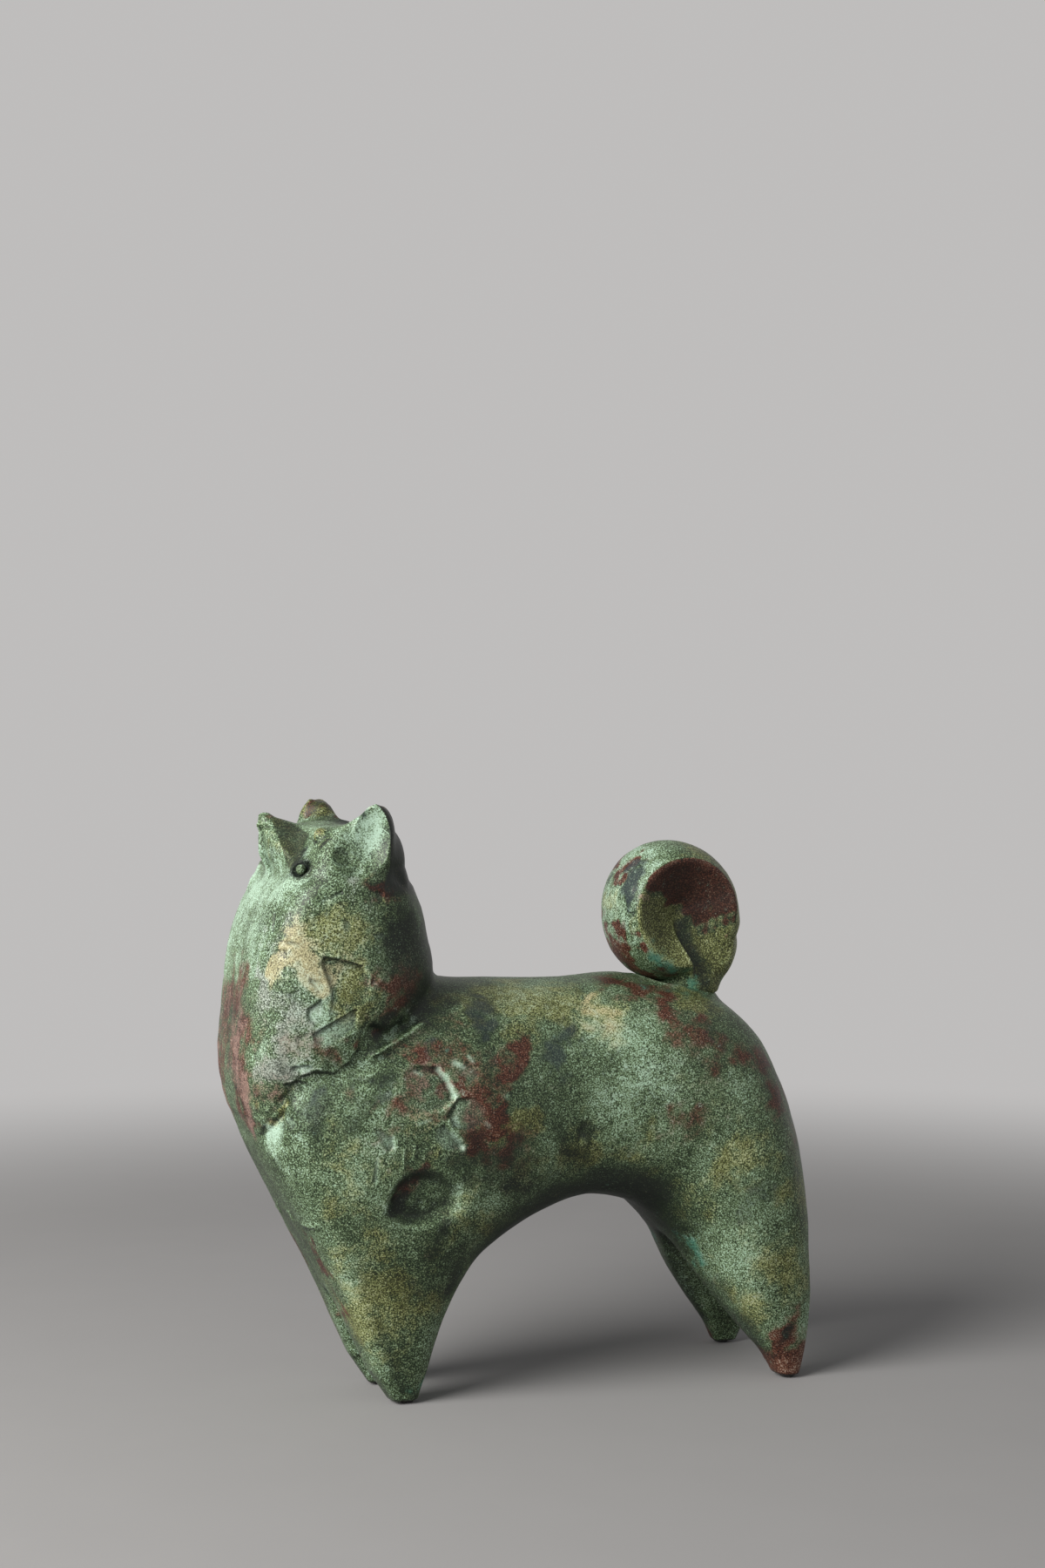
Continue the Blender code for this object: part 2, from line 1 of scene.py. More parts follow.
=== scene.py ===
import bpy
import json
import math
import numpy as np
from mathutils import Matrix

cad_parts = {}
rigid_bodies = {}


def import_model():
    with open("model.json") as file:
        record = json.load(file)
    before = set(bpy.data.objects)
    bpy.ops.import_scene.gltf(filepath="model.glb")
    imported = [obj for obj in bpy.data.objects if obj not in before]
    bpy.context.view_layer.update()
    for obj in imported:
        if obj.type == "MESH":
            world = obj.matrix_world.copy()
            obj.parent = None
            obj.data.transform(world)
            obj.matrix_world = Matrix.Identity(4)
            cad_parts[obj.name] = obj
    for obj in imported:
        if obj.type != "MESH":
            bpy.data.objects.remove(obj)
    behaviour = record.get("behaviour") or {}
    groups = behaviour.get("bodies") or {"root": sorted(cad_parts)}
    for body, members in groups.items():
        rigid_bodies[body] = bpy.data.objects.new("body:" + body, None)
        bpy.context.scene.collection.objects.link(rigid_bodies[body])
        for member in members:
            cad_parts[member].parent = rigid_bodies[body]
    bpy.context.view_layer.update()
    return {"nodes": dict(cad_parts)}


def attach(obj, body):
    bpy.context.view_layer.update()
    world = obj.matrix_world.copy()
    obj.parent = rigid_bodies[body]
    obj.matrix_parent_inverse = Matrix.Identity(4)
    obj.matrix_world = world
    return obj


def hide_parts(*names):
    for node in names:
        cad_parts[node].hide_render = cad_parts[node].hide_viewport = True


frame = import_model()
print("frame loaded,", len(frame["nodes"]), "nodes")


# Small hand tools. Sculpting is in millimetres, Blender in metres.

def pickOnly(*objects):
    bpy.ops.object.select_all(action="DESELECT")
    for one in objects:
        one.select_set(True)
    bpy.context.view_layer.objects.active = objects[0]


def lastAdded():
    return bpy.context.view_layer.objects.active


def editAll(piece):
    pickOnly(piece)
    bpy.ops.object.mode_set(mode="EDIT")
    bpy.ops.mesh.select_all(action="SELECT")


def backToObject():
    bpy.ops.object.mode_set(mode="OBJECT")


def takeNode(nodeName, pieceName):
    pickOnly(frame["nodes"][nodeName])
    bpy.ops.object.duplicate()
    piece = lastAdded()
    bpy.ops.object.parent_clear(type="CLEAR_KEEP_TRANSFORM")
    for key in list(piece.keys()):
        del piece[key]  # the copy is no longer a CAD node
    piece.name = pieceName
    piece.data.name = pieceName
    piece.data.materials.clear()
    editAll(piece)
    bpy.ops.mesh.remove_doubles(threshold=0.000001)
    backToObject()
    return piece


def joinInto(piece, *others):
    pickOnly(piece, *others)
    bpy.ops.object.join()


def addBall(name, at, radii, cuts=5):
    bpy.ops.object.select_all(action="DESELECT")
    place = np.divide(at, 1000)
    bpy.ops.mesh.primitive_ico_sphere_add(subdivisions=cuts, radius=0.001, location=place, scale=radii)
    piece = lastAdded()
    piece.name = name
    bpy.ops.object.transform_apply(location=True, rotation=True, scale=True)
    return piece


def runModifier(piece, kind, **settings):
    pickOnly(piece)
    bpy.ops.object.modifier_add(type=kind)
    modifier = piece.modifiers[-1]
    for key, value in settings.items():
        setattr(modifier, key, value)
    bpy.ops.object.modifier_apply(modifier=modifier.name)


def paintGroup(piece, name, weights, levels=20):
    group = piece.vertex_groups.new(name=name)
    steps = np.round(np.clip(weights, 0, 1) * levels).astype(int)
    for step in range(1, levels + 1):
        chosen = np.nonzero(steps == step)[0]
        if len(chosen):
            group.add(chosen.tolist(), step / levels, "REPLACE")
    return name


def soften(piece, rounds, name="", weights=None):
    # smoothing, all over or by a painted weight
    group = paintGroup(piece, name, weights) if name else ""
    runModifier(piece, "SMOOTH", factor=0.5, iterations=rounds, vertex_group=group)


def cloudBump(piece, name, size, height, group=""):
    texture = bpy.data.textures.new(name, "CLOUDS")
    texture.noise_scale = size
    texture.noise_depth = 1
    runModifier(piece, "DISPLACE", texture=texture, texture_coords="LOCAL", strength=height,
                mid_level=0.5, vertex_group=group)


def readPoints(piece):
    flat = np.empty(len(piece.data.vertices) * 3)
    piece.data.vertices.foreach_get("co", flat)
    return flat.reshape(-1, 3) * 1000


def readNormals(piece):
    flat = np.empty(len(piece.data.vertices) * 3)
    piece.data.vertex_normals.foreach_get("vector", flat)
    return flat.reshape(-1, 3)


def writePoints(piece, points):
    piece.data.vertices.foreach_set("co", (points / 1000).ravel())
    piece.data.update()


def faceMiddles(piece):
    flat = np.empty(len(piece.data.polygons) * 3)
    piece.data.polygons.foreach_get("center", flat)
    return flat.reshape(-1, 3) * 1000


def ramp(values, begin, full):
    # 0 at the first value, 1 at the second, whichever is larger
    share = np.clip((values - begin) / (full - begin), 0, 1)
    return share * share * (3 - 2 * share)


def block(points, x=(), off=(), z=()):
    # weight of a soft-edged block; each pair is where a side begins and is full, off is from the middle plane
    weight = np.ones(len(points))
    for values, sides in zip((points[:, 0], np.abs(points[:, 1]), points[:, 2]), (x, off, z)):
        for begin, full in sides:
            weight *= ramp(values, begin, full)
    return weight


def ball(points, at, reach, power=2):
    # weight of a soft ball
    return np.exp(-(np.linalg.norm(points - at, axis=1) / reach) ** power)


def lineReach(points, path):
    # distance to a path, the side of it in the plane, and how far along it
    best = np.full(len(points), 1e9)
    side = np.ones(len(points))
    share = np.zeros(len(points))
    runs = [np.subtract(b, a) for a, b in zip(path[:-1], path[1:])]
    total = sum(np.linalg.norm(run) for run in runs)
    done = 0.0
    for start, run in zip(path[:-1], runs):
        along = np.clip((points - start) @ run / (run @ run), 0, 1)
        off = points - start - along[:, None] * run
        gap = np.linalg.norm(off, axis=1)
        nearer = gap < best
        best[nearer] = gap[nearer]
        share[nearer] = (done + along[nearer] * np.linalg.norm(run)) / total
        if points.shape[1] == 2:
            side[nearer] = np.where(run[0] * off[:, 1] - run[1] * off[:, 0] < 0, -1, 1)[nearer]
        done += np.linalg.norm(run)
    return best, side, share


def outlineReach(points, corners):
    # distance to an outline, positive inside it
    loop = list(corners) + [corners[0]]
    gap = lineReach(points, loop)[0]
    inside = np.zeros(len(points), bool)
    for (ax, az), (bx, bz) in zip(loop[:-1], loop[1:]):
        if az == bz:
            continue
        crosses = (az > points[:, 1]) != (bz > points[:, 1])
        inside ^= crosses & (points[:, 0] < ax + (points[:, 1] - az) * (bx - ax) / (bz - az))
    return np.where(inside, gap, -gap)


viewpoint = {  # camera of the picture: place in mm, sine and cosine of its turn, and its scale in pixels
    "at": (-276.5, -760.5, 207.3), "turn": -20.0, "sine": 0.342, "cosine": 0.9397,
    "lens": 53.32, "sensor": 36,
    "focusPixels": 2666, "middlePixel": (600, 900), "sidewaysPixels": 2505,
}


def pictureSpot(points):
    # where a point falls on the picture, in its pixels, and how far away it is
    away = points - viewpoint["at"]
    sine, cosine, focus = (viewpoint[key] for key in ("sine", "cosine", "focusPixels"))
    depth = away[:, 0] * sine + away[:, 1] * cosine
    right = away[:, 0] * cosine - away[:, 1] * sine
    column, row = viewpoint["middlePixel"]
    return np.stack([column + focus * right / depth, row - focus * away[:, 2] / depth], 1), depth


# Body: both castings joined under one skin, carved, then parted again on the middle plane.

body = {
    "voxel": 0.00108,
    "overlap": 0.4,  # mm each half is drawn over the parting plane before the skin is made
    "partingWithin": 0.2,  # mm from the parting plane that count as the cut face
    "partingGap": 0.00001,  # half the gap between the parted halves
    "softenRounds": 50, "stepRounds": 5, "fineRounds": 3,
    "headKept": 0.97, "soles": [(1.5, 12, 0.75), (0.8, 3, 0.25)],  # heights and share of softening
    "waveSize": 0.016, "waveHeight": 0.0005,
    "dimpleSize": 0.0055, "dimpleHeight": 0.00022,
    "screwsAt": [(-42.0, 92.0), (71.7, 86.0), (-69.0, 158.0)],
    "wellSide": 20, "wellRadius": 6.5, "wellSoft": 9, "wellCarved": 9.5,  # the wells stay clear of all work
    "smoothAngle": 50,
}
bosses = [  # fuller points given to the castings: place, radii in mm
    ((-62.6, -33.0, 190.0), (6.4, 4.2, 11.0)), ((-64.0, 33.0, 191.4), (6.0, 4.4, 10.9)),  # ear leaves
    ((-60.4, -28.6, 190.0), (5.6, 6.0, 10.8)), ((-64.2, 29.0, 191.0), (4.4, 5.4, 10.8)),  # backs of the ears
    ((-67.6, 31.6, 193.4), (4.4, 4.0, 9.0)),  # front of the far ear
    ((-56.0, -22.0, 181.0), (6.5, 10.0, 12.0)), ((-58.5, 21.0, 177.0), (6.0, 9.5, 11.0)),  # nape
    ((-82.0, -22.4, 175.4), (9.0, 6.2, 7.6)), ((-82.0, 22.4, 175.4), (9.0, 6.2, 7.6)),  # throat
    ((-90.8, 0.0, 195.0), (3.0, 3.2, 3.2)),  # nose
    ((-72.5, 0.0, 185.8), (13.0, 19.0, 9.2)),  # crown
    ((34.0, 0.0, 131.5), (26.0, 15.0, 9.0)), ((63.0, 0.0, 132.0), (10.0, 13.0, 5.5)),  # back, up to the tail
]
keptHead = [  # blocks of the head that keep their edges
    {"x": [(-61, -65)], "z": [(171, 178)]}, {"x": [(-50, -54)], "z": [(186, 191)]},
]
fineBlocks = [  # closer mesh where the chisel work is fine: x, distance from the middle plane, z
    ((-200, -56), (20, 50), (110, 176)),  # ruff
    ((-66, -24), (27, 50), (60, 130)),  # shoulder
    ((-200, -84), (12, 50), (80, 118)),  # tip of the bib
    ((-200, -50), (-1, 50), (174, 300)),  # head
]
softSpots = {  # rounds of smoothing and where
    "cheek": (45, {"x": [(-65, -68), (-82, -79)], "off": [(20, 25)], "z": [(178, 182), (197, 193)]}),
    "crown": (40, {"x": [(-56, -59), (-83, -79)], "off": [(30.5, 26.5)], "z": [(186, 189)]}),
    "chin": (110, {"x": [(-82, -86)], "off": [(27, 23)], "z": [(170, 174), (186, 181)]}),
}
fillet = {"at": (-31.5, 142), "reach": (10, 9), "off": [(30, 22)], "rounds": 170}  # between nape and back
drum = {  # the curled tail's outline: the casting's circle, drawn forward a little and pushed out by angle
    "forward": 0.9, "centre": (56.2, 162.3), "radius": 24.5, "halfWidth": 17.5, "gap": 0.25,
    "angles": (-180, -160, -145, -125, -100, -75, -40, -24, -12, 0, 10, 45, 75, 90, 110, 130, 145, 160, 180),
    "push": (-0.2, 0.2, 0.8, 1.3, 0.9, 0.2, 0.1, 0.9, 0.9, 0.1,
             -0.2, -0.2, 0.2, 0.6, 0.9, 0.9, 0.5, 0.2, -0.2),
}


def keepOneShell(piece):
    # the core and the dowel holes are sealed inside, so only what hangs on the topmost point stays
    top = int(np.argmax(readPoints(piece)[:, 2]))
    editAll(piece)
    bpy.ops.mesh.select_all(action="DESELECT")
    backToObject()
    piece.data.vertices[top].select = True
    bpy.ops.object.mode_set(mode="EDIT")
    bpy.ops.mesh.select_linked()
    bpy.ops.mesh.select_all(action="INVERT")
    bpy.ops.mesh.delete(type="VERT")
    backToObject()


def wellGuard(points, full):
    # 0 at the screw wells of the right side, 1 away from them
    guard = np.ones(len(points))
    for x, z in body["screwsAt"]:
        gap = np.hypot(points[:, 0] - x, points[:, 2] - z)
        guard *= np.where(points[:, 1] > body["wellSide"], ramp(gap, body["wellRadius"], full), 1)
    return guard


def bodySoftness(points):
    head = np.maximum(*[block(points, **part) for part in keptHead])
    soles = sum(share * ramp(points[:, 2], low, high) for low, high, share in body["soles"])
    return (1 - body["headKept"] * head) * soles * wellGuard(points, body["wellSoft"])


def drumPush(away):
    return np.interp(np.degrees(np.arctan2(away[:, 1], away[:, 0])), drum["angles"], drum["push"])


def clearDrum(points):
    # nothing of the back reaches into the curled tail
    away = points[:, [0, 2]] - drum["centre"]
    gap = np.hypot(away[:, 0], away[:, 1])
    room = drum["radius"] + drum["gap"] + drumPush(away)
    inside = (gap < room) & (np.abs(points[:, 1]) < drum["halfWidth"])
    points[np.ix_(inside, [0, 2])] += away[inside] * (room[inside] / gap[inside] - 1)[:, None]
    return points


def refine(piece, chosenFaces):
    editAll(piece)
    bpy.ops.mesh.select_mode(type="FACE")
    bpy.ops.mesh.select_all(action="DESELECT")
    backToObject()
    piece.data.polygons.foreach_set("select", chosenFaces)
    bpy.ops.object.mode_set(mode="EDIT")
    bpy.ops.mesh.subdivide(number_cuts=1, smoothness=0)
    bpy.ops.mesh.select_mode(type="VERT")
    backToObject()


halves = [takeNode("left_body_casting", "leftDraft"), takeNode("right_body_casting", "rightDraft")]
for half, over in zip(halves, (1, -1)):
    points = readPoints(half)
    points[np.abs(points[:, 1]) < body["partingWithin"], 1] = over * body["overlap"]
    writePoints(half, points)
joinInto(*halves, *[addBall("boss", at, radii) for at, radii in bosses])
skin = halves[0]
runModifier(skin, "REMESH", mode="VOXEL", voxel_size=body["voxel"])
keepOneShell(skin)
print("body skin:", len(skin.data.polygons), "faces")

softness = bodySoftness(readPoints(skin))
soften(skin, body["softenRounds"], "facets", softness)
soften(skin, body["stepRounds"], "steps", 1 - softness)
cloudBump(skin, "handWaves", body["waveSize"], body["waveHeight"], "facets")
cloudBump(skin, "dimples", body["dimpleSize"], body["dimpleHeight"])

middles = faceMiddles(skin)
middles[:, 1] = np.abs(middles[:, 1])
fine = np.zeros(len(middles), bool)
for limits in fineBlocks:
    low, high = np.transpose(limits)
    fine |= ((middles > low) & (middles < high)).all(1)
refine(skin, fine)
soften(skin, body["fineRounds"])
points = readPoints(skin)
for name, (rounds, limits) in softSpots.items():
    soften(skin, rounds, name, block(points, **limits))
weights = np.exp(-(((points[:, [0, 2]] - fillet["at"]) / fillet["reach"]) ** 2).sum(1))
soften(skin, fillet["rounds"], "fillet", weights * block(points, off=fillet["off"]))
print("body softened:", len(skin.data.polygons), "faces")


# Chisel work. Marks are x, z on a flank, and fade is the way a cut runs out.

def flake(depth, fade, pale, *corners, wall=0.6, power=1):
    return {"corners": corners, "depth": depth, "fade": fade, "pale": pale, "wall": wall, "power": power}


ruffPlates = [  # depth in mm, way it runs out, paleness, corners in x and z
    flake(1.5, (0.3, -1), 0, (-81.4, 151.9), (-74.2, 150.4), (-68.3, 148.6), (-66.3, 144.8), (-65.6, 138.5),
          (-70.3, 134.7), (-75.5, 132.3), (-78.9, 130.4), (-79.4, 133.2), (-78.7, 136.4), (-78.9, 140.9),
          (-80.9, 146), (-82.4, 149.8)),
    flake(0.7, (1, -0.4), 0.8, (-86, 145.1), (-83, 144.3), (-80.9, 143.2), (-80.5, 140.5), (-82.2, 139.2),
          (-84.2, 141.3), (-86, 143.6)),
    flake(1.0, (1, -0.6), 1, (-81.9, 138.3), (-80.1, 134.7), (-79.2, 132.9), (-80.1, 130.4), (-81.4, 129.1),
          (-83.7, 129.2), (-85.8, 130.6), (-86.7, 132.7), (-86.6, 134.8), (-84.2, 136.6)),
    flake(1.4, (0.25, -1), 0.8, (-70.3, 134.6), (-70, 132.1), (-70.5, 128.1), (-74.2, 125.2),
          (-78.3, 122.4), (-83, 123), (-84.8, 126.6), (-80.9, 128.9), (-75.7, 131.8)),
    flake(0.8, (0.2, -1), 1, (-90.4, 116), (-86.3, 116.8), (-83.7, 116), (-83.7, 114.2), (-87.8, 113.4),
          (-90.9, 114.8)),
    flake(0.6, (1, 0), 0.6, (-97.4, 127.5), (-96, 124.4), (-96.6, 119.4), (-99, 117.6), (-99.8, 120.1),
          (-98.8, 124.5)),
    flake(0.7, (0.2, -1), 0.6, (-84.7, 168.9), (-81.5, 170.3), (-78.4, 171.8), (-75, 173.3), (-74.7, 171.9),
          (-77.3, 170.2), (-80.8, 168.9)),
    flake(0.5, (-1, -0.2), 0.5, (-65.8, 158.6), (-62.7, 159.1), (-60.6, 159.5), (-61.1, 157.3),
          (-63.7, 156.3)),
    flake(1.1, (0.3, -1), 0.9, (-96.8, 93), (-94.2, 98.6), (-92, 101.3), (-91.4, 95.5), (-92.2, 89.5),
          (-94, 84.5), (-95.4, 88)),
    flake(0.8, (1, -0.4), 0.2, (-92.5, 110.6), (-88.3, 111.4), (-83.2, 110.2), (-81.1, 104.6),
          (-82.2, 99.1), (-85.8, 97.3), (-88.3, 98.9), (-90.4, 103.5)),
    flake(0.6, (1, -0.3), 0.9, (-91.7, 101.6), (-88.6, 98.7), (-87.8, 96.6), (-89.9, 95.7), (-91.9, 98.3)),
    flake(0.5, (1, -0.2), 0.3, (-92.6, 140), (-88.7, 141.6), (-86.4, 137), (-90, 134.6)),
    flake(0.4, (1, -0.4), 0.2, (-90, 126), (-85.5, 127.4), (-84, 121.6), (-88.6, 119.6)),
]
shoulderPlates = [
    flake(2.2, (-1, -0.35), 0.1, (-53.8, 113.9), (-47.9, 115.5), (-42, 114.8), (-39, 110.9), (-36.6, 105.1),
          (-37.3, 103.3), (-41.5, 100.6), (-46, 99.9), (-52.4, 98.8), (-57.3, 96.2), (-58.7, 99.1),
          (-56.8, 103.7), (-54.3, 109.2), wall=1.3, power=2.4),
    flake(2.0, (-1, -0.5), 0.7, (-44, 94.6), (-40.5, 96.1), (-38, 93.4), (-33.5, 88.9), (-34, 87),
          (-37, 86.7), (-41, 87.4), (-44, 90.4), wall=1.4, power=1.5),
    flake(1.1, (1, 0.2), 0.3, (-39.5, 99.1), (-36, 104.2), (-30, 104.4), (-25.5, 100.3), (-27, 95.7),
          (-33, 93.1), (-37.5, 94.8)),
    flake(0.6, (-1, 0), 0.3, (-37, 113), (-32, 116), (-28, 112), (-31, 108.6)),
    flake(0.4, (-1, -0.3), 0.1, (-28, 118), (-22, 119.6), (-20.6, 114), (-26, 112.6)),
    flake(1.1, (-1, -0.2), 0.8, (-65.1, 95.2), (-62.2, 95.5), (-57.8, 92), (-57.3, 89.2), (-59.7, 87.5),
          (-62.2, 90.9)),
    flake(0.6, (1, 0), 0.9, (-63.4, 86.3), (-62.4, 81.5), (-63.6, 77.6), (-64.6, 77.9), (-64.1, 82.6)),
]
paintedEdgeHighlights = [  # painted highlights along the flake edges that face the light, mostly on the shoulder: path, half width, strength
    ([(-42.2, 114.0), (-39.2, 110.2), (-37.0, 105.0)], 0.9, 1.5),
    ([(-38.2, 92.8), (-35.2, 89.6), (-34.2, 87.6)], 1.0, 1.4),
    ([(-58.4, 92.0), (-57.8, 89.2)], 0.8, 1.1),
    ([(-36.4, 115.6), (-33.6, 114.2)], 1.1, 1.3),
    ([(-31.6, 117.6), (-30.2, 116.0)], 0.8, 1.1),
    ([(-63.2, 86.0), (-63.6, 78.4)], 0.8, 0.6),
    ([(-26.2, 95.6), (-25.4, 94.6)], 0.8, 0.7),
    ([(-19.4, 104.4), (-18.6, 103.8)], 0.8, 0.7),
    ([(-88.6, 116.4), (-84.6, 115.8)], 0.9, 1.0),
    ([(-50.4, 113.6), (-47.6, 112.4)], 0.8, 1.0),
    ([(-45.4, 97.6), (-49.4, 96.4)], 0.6, 0.7),
]
strokes = [  # path, half width, height in mm
    ([(-65, -33.2, 118.4), (-55, -31.6, 123.2), (-45, -29.6, 128)], 1.6, 2.4),  # foot of the ruff
    ([(-65.5, -35, 127.6), (-58, -32, 124.6), (-50, -29.6, 128)], 2.8, -2.2),  # dark pocket above it
    ([(-92.6, -24.4, 165.6), (-94, -27.4, 159)], 0.6, -0.7),  # crease at the top of the bib
    ([(-66, -36.5, 131), (-68.5, -35.4, 125)], 0.9, -0.8),
    ([(-61, -37.2, 144.6), (-65.5, -38, 140.6)], 0.8, 0.5),
    ([(-54.4, -37.7, 88.6), (-54.8, -37.4, 81)], 0.55, 0.5),
    ([(-50.6, -37.8, 90), (-51.4, -37.7, 84.6)], 0.55, 0.45),
    ([(-47, -38, 88), (-48, -38, 83)], 0.5, 0.35),
    ([(-84.4, -7.1, 66.8), (-82.2, -8.4, 62.4)], 0.6, 0.5),
    ([(-82, -16.6, 62.9), (-78.8, -26, 64)], 0.6, 0.45),
    ([(-97.2, -19, 93.4), (-91.4, -28.8, 102)], 0.8, -0.9),
    ([(-40, -38, 97.4), (-37, -38, 101.5), (-38.6, -38, 105)], 0.7, -0.7),
    ([(-26, -37.6, 108), (-20, -37.4, 105)], 0.6, 0.35),
    ([(-16, -37.4, 98), (-8, -36.5, 100.6)], 0.5, 0.3),
    ([(-91.4, -5.5, 193.2), (-92.6, 0, 192.6), (-91.4, 5.5, 193.2)], 0.8, -0.9),  # line under the nose
]
ruffEdge = {  # the ruff stands over the shoulder along this path
    "path": [(-64.5, 131), (-67.6, 124.6), (-71.4, 117.4), (-76.8, 113.6), (-83, 114.6), (-88.5, 112.6),
             (-92.8, 106.6), (-97, 95.6)],
    "high": 1.0, "highReach": 9.0, "low": 0.8, "lowReach": 5.0,
}
dishes = [  # pressed into elbow, cheek and flank; the tilt is in degrees
    {"at": (-45.4, -36.4, 71.3), "radii": (15.8, 10.2), "depth": 3.6, "lean": (-0.3, -0.05), "tilt": 9},
    {"at": (-73.6, -29.0, 183.4), "radii": (4.4, 3.6), "depth": 0.8, "lean": (0, 0), "tilt": 0},
    {"at": (12.0, -33.0, 90.5), "radii": (5.0, 4.0), "depth": 0.6, "lean": (0, 0), "tilt": 0},
]
domes = [  # centre, radius, height
    ((-80.4, -24.4, 192.4), 4.0, 3.5),  # eye
    ((10.2, -32.8, 87.1), 2.2, 1.0),
    ((-86.0, -34.4, 113.8), 1.6, 0.5),
]
chips = {  # shallow chips over the rest of the ruff, away from the drawn ones
    "count": 90, "seed": 11, "size": (1.8, 3.6), "depth": (0.3, 0.7), "pale": 0.7,
    "heights": (108, 172), "before": -58, "drawnBelow": 138, "clear": 9,
}
marksShift = {-1: (0, 0), 1: (2.5, -1.5)}  # the hidden flank has its marks a little elsewhere
profiles = [  # side faced, where it begins, heights and the fullness given there in mm
    (-1, 36, (0, 13, 35, 50, 64, 78, 92, 102, 120, 131, 148, 166, 172, 177),
     (1.2, 3.2, 2.4, 2.2, 1.8, 1.2, 0.7, 2.0, 2.2, 1.4, 1.8, 2.4, 1.6, 0)),  # chest and forelegs
    (1, 55, (30, 45, 60, 75, 90, 105, 116), (0, -0.8, -1.3, -1.5, -1.5, -1.1, 0)),  # rump
]
backFullness = ((-38, -33, -29, -24, -16, -5, 5, 16, 20, 25, 30, 36, 42),
                (0, 0.4, 0.7, 0.6, 0.5, 0.5, 0.6, 0.9, 1.1, 1.0, 0.8, 0.5, 0))
napeFullness = ((138, 147, 154, 158, 161, 165, 172, 175, 180), (0, 0.9, 0.9, 1.5, 2.1, 2.8, 3.0, 2.2, 0))
tailFillet = {"at": (57.1, 162.3), "radius": 24.5, "height": 1.3, "reach": 2.2}  # climbs to the curled tail


def cutPlate(lift, pale, points, onSide, plate, shift=(0, 0)):
    corners = [(x + shift[0], z + shift[1]) for x, z in plate["corners"]]
    flat = points[:, [0, 2]]
    low, high = np.min(corners, axis=0) - 2, np.max(corners, axis=0) + 2
    near = np.nonzero(onSide & (flat > low).all(1) & (flat < high).all(1))[0]
    reach = outlineReach(flat[near], corners)
    fade = np.array(plate["fade"]) / np.hypot(*plate["fade"])
    spread = [np.dot(corner, fade) for corner in corners]
    runOut = np.clip((flat[near] @ fade - min(spread)) / (max(spread) - min(spread)), 0, 1)
    cut = ramp(reach, -0.3, plate["wall"]) * (1 - 0.95 * runOut) ** plate["power"]
    lift[near] -= 1.3 * plate["depth"] * cut
    pale[near] = np.maximum(pale[near], ramp(reach, 0.1, 1.0) * (1 - 0.6 * runOut) * plate["pale"])


def strokeLift(mirrored, path, width, height):
    reach, _, share = lineReach(mirrored, list(path))
    ends = np.sqrt(np.clip(np.minimum(share, 1 - share) * 8, 0, 1)) * 0.6 + 0.4
    return height * np.exp(-(reach / width) ** 2) * ends * (mirrored[:, 1] < 3)


def ruffEdgeLift(mirrored):
    gap, turn, share = lineReach(mirrored[:, [0, 2]], ruffEdge["path"])
    signed = -gap * turn
    ends = ramp(share, 0, 0.1) * ramp(1 - share, 0, 0.1)
    above = np.exp(-np.clip(signed, 0, None) / ruffEdge["highReach"])
    below = np.exp(-np.clip(-signed, 0, None) / ruffEdge["lowReach"])
    rise = ruffEdge["high"] * ramp(signed, -0.9, 0.9) * above
    fall = ruffEdge["low"] * ramp(-signed, -0.9, 1.1) * below
    broken = 0.62 + 0.38 * np.sin(share * 21 + 0.8) * np.sin(share * 47)
    return (rise - fall) * ends * broken


def dishDepth(mirrored, dish):
    tilt = math.radians(dish["tilt"])
    offX, offY, offZ = (mirrored - dish["at"]).T
    across = (offX * math.cos(tilt) + offZ * math.sin(tilt)) / dish["radii"][0]
    up = (offZ * math.cos(tilt) - offX * math.sin(tilt)) / dish["radii"][1]
    angle = np.arctan2(up, across)
    # never quite round, steep on one side and running out on the other
    ring = np.hypot(across, up) * (1 + 0.10 * np.sin(2 * angle + 0.7) + 0.06 * np.sin(3 * angle))
    wall = 0.5 - dish["lean"][0] * across - dish["lean"][1] * up
    return np.where(np.abs(offY) < 14, dish["depth"] * ramp((1 - ring) / np.clip(wall, 0.3, 1.2), 0, 1), 0)


def carveSide(points, normals, side):
    lift = np.zeros(len(points))
    pale = np.zeros(len(points))
    shift = marksShift[side]
    mirrored = points * (1, -side, 1)  # every mark is written for the left flank
    onSide = (mirrored[:, 1] < 0) & (-side * normals[:, 1] < 0.1)
    for plate in ruffPlates + shoulderPlates:
        cutPlate(lift, pale, points, onSide, plate, shift)
    # painted highlights along the lit flake edges
    for path, width, strength in paintedEdgeHighlights:
        reach, _, share = lineReach(points[:, [0, 2]], list(np.add(path, shift)))
        thin = width * (0.55 + 0.45 * np.sin(share * 9 + path[0][0]) ** 2)
        pale = np.maximum(pale, np.where(onSide, strength * np.exp(-(reach / thin) ** 2), 0))
    for path, width, height in strokes:
        onFlank = abs(path[0][1]) > 25
        moved = np.add(path, (shift[0], 0, shift[1])) if onFlank else np.array(path)
        lift += strokeLift(mirrored, moved, width, height)
    lift += np.where(onSide, ruffEdgeLift(mirrored), 0)
    for dish in dishes:
        lift -= dishDepth(mirrored, dish)
    for at, radius, height in domes:
        gap = np.linalg.norm(mirrored - at, axis=1) / radius
        lift += height * np.clip(1 - gap ** 2, 0, None) ** 0.9
    return lift, pale


